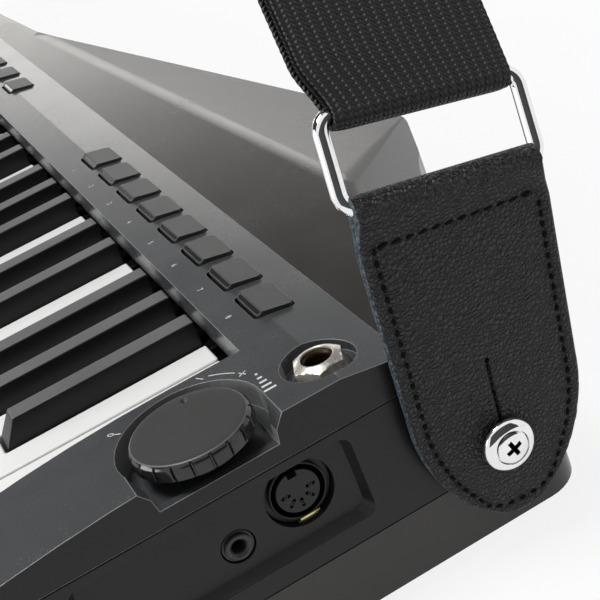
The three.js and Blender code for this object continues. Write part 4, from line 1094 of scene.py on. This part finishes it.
def webbing():
    """The band along its path. Its UV holds millimetres across and along it, for the weave."""
    path = resampled(web_path(), 1.0 * MM)
    section = []
    for share in (-1.0, -0.97, -0.93, -0.85, -0.7, -0.5, -0.25, 0.0, 0.25, 0.5, 0.7, 0.85, 0.93, 0.97, 1.0):
        section.append((share * WEB_HALF, WEB_THIN - 0.35 * max(0.0, abs(share) - 0.9) / 0.1))
    loop = section + [(x, -y) for x, y in section[::-1]]
    rows, lengths = [], []
    travelled = 0.0
    for slot, (point, across) in enumerate(path):
        before = path[max(0, slot - 1)][0]
        after = path[min(len(path) - 1, slot + 1)][0]
        out = across.cross((after - before).normalized()).normalized()
        travelled += (point - before).length
        lengths.append(travelled / MM)
        scallop = 0.22 if slot % 2 else -0.1
        lift = (point - upper_bar).dot(web_rise) / MM
        flare = eased(lift / WEB_FLARE)
        drift = -WEB_DRIFT * flare * max(0.0, 1 - max(0.0, lift - WEB_FOLD) / 200)
        squeeze = (WEB_PINCHED + (WEB_HALF - WEB_PINCHED) * flare) / WEB_HALF
        row = []
        for x, y in loop:
            wide = x + math.copysign(scallop, x) if abs(x) > WEB_HALF * 0.98 else x
            row.append(point + across * (wide * squeeze + drift) * MM + out * y * MM)
        rows.append(row)
    band = from_grid("strap_webbing_band", rows, "webbing", closed_columns=True, caps=True, angle=60.0,
                     slot="strap_fabric", replaces=("strap_webbing",))
    weave = band.data.uv_layers.new(name="weave")
    for corner in band.data.loops:
        row, column = divmod(corner.vertex_index, len(loop))
        weave.data[corner.index].uv = (loop[column][0], lengths[min(row, len(lengths) - 1)])


webbing()


# Marks on the panel
MARK_LINE = 0.35
NUMBER_SHIFT, NUMBER_Y, NUMBER_SIZE = 9.3, 11.4, 2.6
ARC_RADIUS, ARC_START, ARC_TURN = 22.6, 146, 20
BAR_START, BAR_PITCH, BAR_Y = -22.0, 2.4, 5.5


def facet_z(y):
    """The panel's height, which falls along its back facet."""
    return PANEL_TOP - FACET_DROP * max(0.0, (y - FACET_START) / FACET_RUN)


def text_mark(name, words, x, y, size, turn_angle=0.0):
    """A printed number on the panel."""
    curve = bpy.data.curves.new(name, "FONT")
    curve.body = words
    curve.size = size * MM
    curve.align_x = "CENTER"
    curve.align_y = "CENTER"
    curve.extrude = 0.00002
    text = bpy.data.objects.new(name, curve)
    scene.collection.objects.link(text)
    text.matrix_world = (Matrix.Translation(place(x, y, facet_z(y) + 0.03))
                         @ Matrix.Rotation(turn_angle, 4, "Z"))
    bpy.context.view_layer.update()
    mesh = bpy.data.meshes.new_from_object(text.evaluated_get(bpy.context.evaluated_depsgraph_get()))
    mesh.transform(text.matrix_world)
    bpy.data.objects.remove(text)
    add(name, mesh, "ink", slot="panel_paint")


def strip_mark(name, points, width=MARK_LINE):
    """A thin printed line through plan points."""
    vertices, faces = [], []
    for slot, (x, y) in enumerate(points):
        before = Vector(points[max(0, slot - 1)])
        after = Vector(points[min(len(points) - 1, slot + 1)])
        along = (after - before).normalized()
        side = Vector((-along.y, along.x)) * width / 2
        height = facet_z(y) + 0.045
        vertices.append(tuple(place(x + side.x, y + side.y, height)))
        vertices.append(tuple(place(x - side.x, y - side.y, height)))
        if slot:
            base = 2 * slot
            faces.append((base - 2, base - 1, base + 1, base))
    mesh = bpy.data.meshes.new(name)
    mesh.from_pydata(vertices, [], faces)
    add(name, mesh, "ink", slot="panel_paint")


for group, count, start, pitch in (("pad", 8, -48.3, 23.87), ("function", 3, -358.0, 28.5)):
    for slot in range(count):
        number = count - slot
        x = start - pitch * slot - NUMBER_SHIFT
        text_mark(f"{group}_number_{number}", str(number), x, NUMBER_Y, NUMBER_SIZE)
text_mark("volume_zero", "0", -30.9, -33.3, 2.9, math.radians(-45))
strip_mark("volume_zero_tick", [(-30.0, -32.3), (-28.9, -31.0)], 0.4)
strip_mark("volume_minus", [(-35.5, -6.9), (-33.2, -5.6)])
arc = []
for step in range(13):
    x, y = around(ARC_RADIUS, math.radians(ARC_START - ARC_TURN * step / 12))
    arc.append((KNOB[0] + x, KNOB[1] + y))
strip_mark("volume_arc", arc)
strip_mark("volume_plus_a", [(-26.9, 2.4), (-24.7, 3.6)])
strip_mark("volume_plus_b", [(-26.4, 4.1), (-25.2, 1.9)])
for slot in range(5):
    x = BAR_START + BAR_PITCH * slot
    tall = 0.35 * (slot + 1)
    strip_mark(f"volume_bar_{slot + 1}", [(x, BAR_Y - tall), (x, BAR_Y + tall)], 0.9)


# Display window
slab("display_window", oblong(22.7, 7.3), Matrix.Translation(place(-460.9, 13.8, PANEL_TOP - 0.78)),
     0.0, 0.5, "glass", 0.1, slot="panel_paint")


# Floor, cards, lamps and world
FLOOR_REACH = 6.0
FLOOR_GLOW = 0.86
WORLD_LIGHT = 0.3


def seen_rays(nodes, links):
    """1 for the rays that come from the camera, off a gloss or through glass, and 0 for the rest."""
    rays = nodes.new("ShaderNodeLightPath")
    seen = rays.outputs["Is Camera Ray"]
    for kind in ("Is Glossy Ray", "Is Transmission Ray"):
        most = nodes.new("ShaderNodeMath")
        most.operation = "MAXIMUM"
        links.new(seen, most.inputs[0])
        links.new(rays.outputs[kind], most.inputs[1])
        seen = most.outputs[0]
    return seen


def card(name, corners, look):
    """A plate through four corners."""
    mesh = bpy.data.meshes.new(name)
    mesh.from_pydata(corners, [], [(0, 1, 2, 3)])
    mesh.materials.append(look.material)
    obj = bpy.data.objects.new(name, mesh)
    scene.collection.objects.link(obj)
    return obj


def flag(name, corners, value):
    """A dark studio card that only shows in the gloss of the pieces."""
    look = Look(name, 0.9)
    look.colour(look.noise(3.0), shade(value * 0.9), shade(value * 1.1))
    obj = card(name, corners, look)
    obj.visible_camera = False
    obj.visible_diffuse = False
    obj.visible_shadow = False
    obj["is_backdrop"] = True


def lamp(name, where, aim, size, power, colour=PLAIN):
    """A soft rectangular lamp that is turned to a point."""
    data = bpy.data.lights.new(name, "AREA")
    data.shape = "RECTANGLE"
    data.size, data.size_y = size
    data.energy = power
    data.color = colour
    obj = bpy.data.objects.new(name, data)
    scene.collection.objects.link(obj)
    obj.location = where
    obj.rotation_mode = "QUATERNION"
    obj.rotation_quaternion = (Vector(aim) - Vector(where)).to_track_quat("-Z", "Y")


ground = Look("floor_pale", 0.8)
ground.colour(ground.noise(2.0), shade(0.88), shade(0.92))
glow = ground.node("ShaderNodeEmission", Strength=1.0)
mixer = ground.nodes.new("ShaderNodeMixShader")
seen = seen_rays(ground.nodes, ground.links)
ground.join(ground.math("MULTIPLY", seen, FLOOR_GLOW), mixer.inputs["Fac"])
ground.join(ground.shader.outputs["BSDF"], mixer.inputs[1])
ground.join(glow.outputs["Emission"], mixer.inputs[2])
ground.join(mixer.outputs["Shader"], ground.nodes["Material Output"].inputs["Surface"])
floor = card("floor", [(x, y, 0) for x, y in oblong(FLOOR_REACH, FLOOR_REACH)], ground)
floor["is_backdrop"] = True

world = bpy.data.worlds.new("studio")
scene.world = world
world.use_nodes = True
tree = world.node_tree
background = tree.nodes["Background"]
background.inputs["Color"].default_value = (*PLAIN, 1.0)
level = tree.nodes.new("ShaderNodeMapRange")
level.inputs["To Min"].default_value = WORLD_LIGHT
level.inputs["To Max"].default_value = 1.0
tree.links.new(seen_rays(tree.nodes, tree.links), level.inputs["Value"])
tree.links.new(level.outputs["Result"], background.inputs["Strength"])

flag("flag_over", [(-3.2, -3.4, 1.12), (-3.2, 3.4, 1.12), (0.6, 3.4, 2.6), (0.6, -3.4, 2.6)], 0.05)
flag("flag_low", [(-3.0, -2.6, 0.0), (-3.0, 2.6, 0.0), (-3.0, 2.6, 0.36), (-3.0, -2.6, 0.36)], 0.3)
flag("flag_front", [(2.2, -1.9, 0.0), (2.2, 1.9, 0.0), (2.0, 1.9, 1.9), (2.0, -1.9, 1.9)], 0.06)

lamp("key_softbox", (0.1, -0.5, 2.1), (0.1, 0, 0.05), (0.8, 0.8), 35.0)
lamp("side_softbox", (-0.3, -2.3, 0.9), (0.1, 0, 0.05), (1.6, 0.9), 26.0)
lamp("back_softbox", (-2.7, 0.5, 0.6), (0.0, 0.1, 0.05), (2.6, 0.34), 8.0, (1.0, 0.965, 0.92))

scene.view_settings.view_transform = "Standard"

low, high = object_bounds()
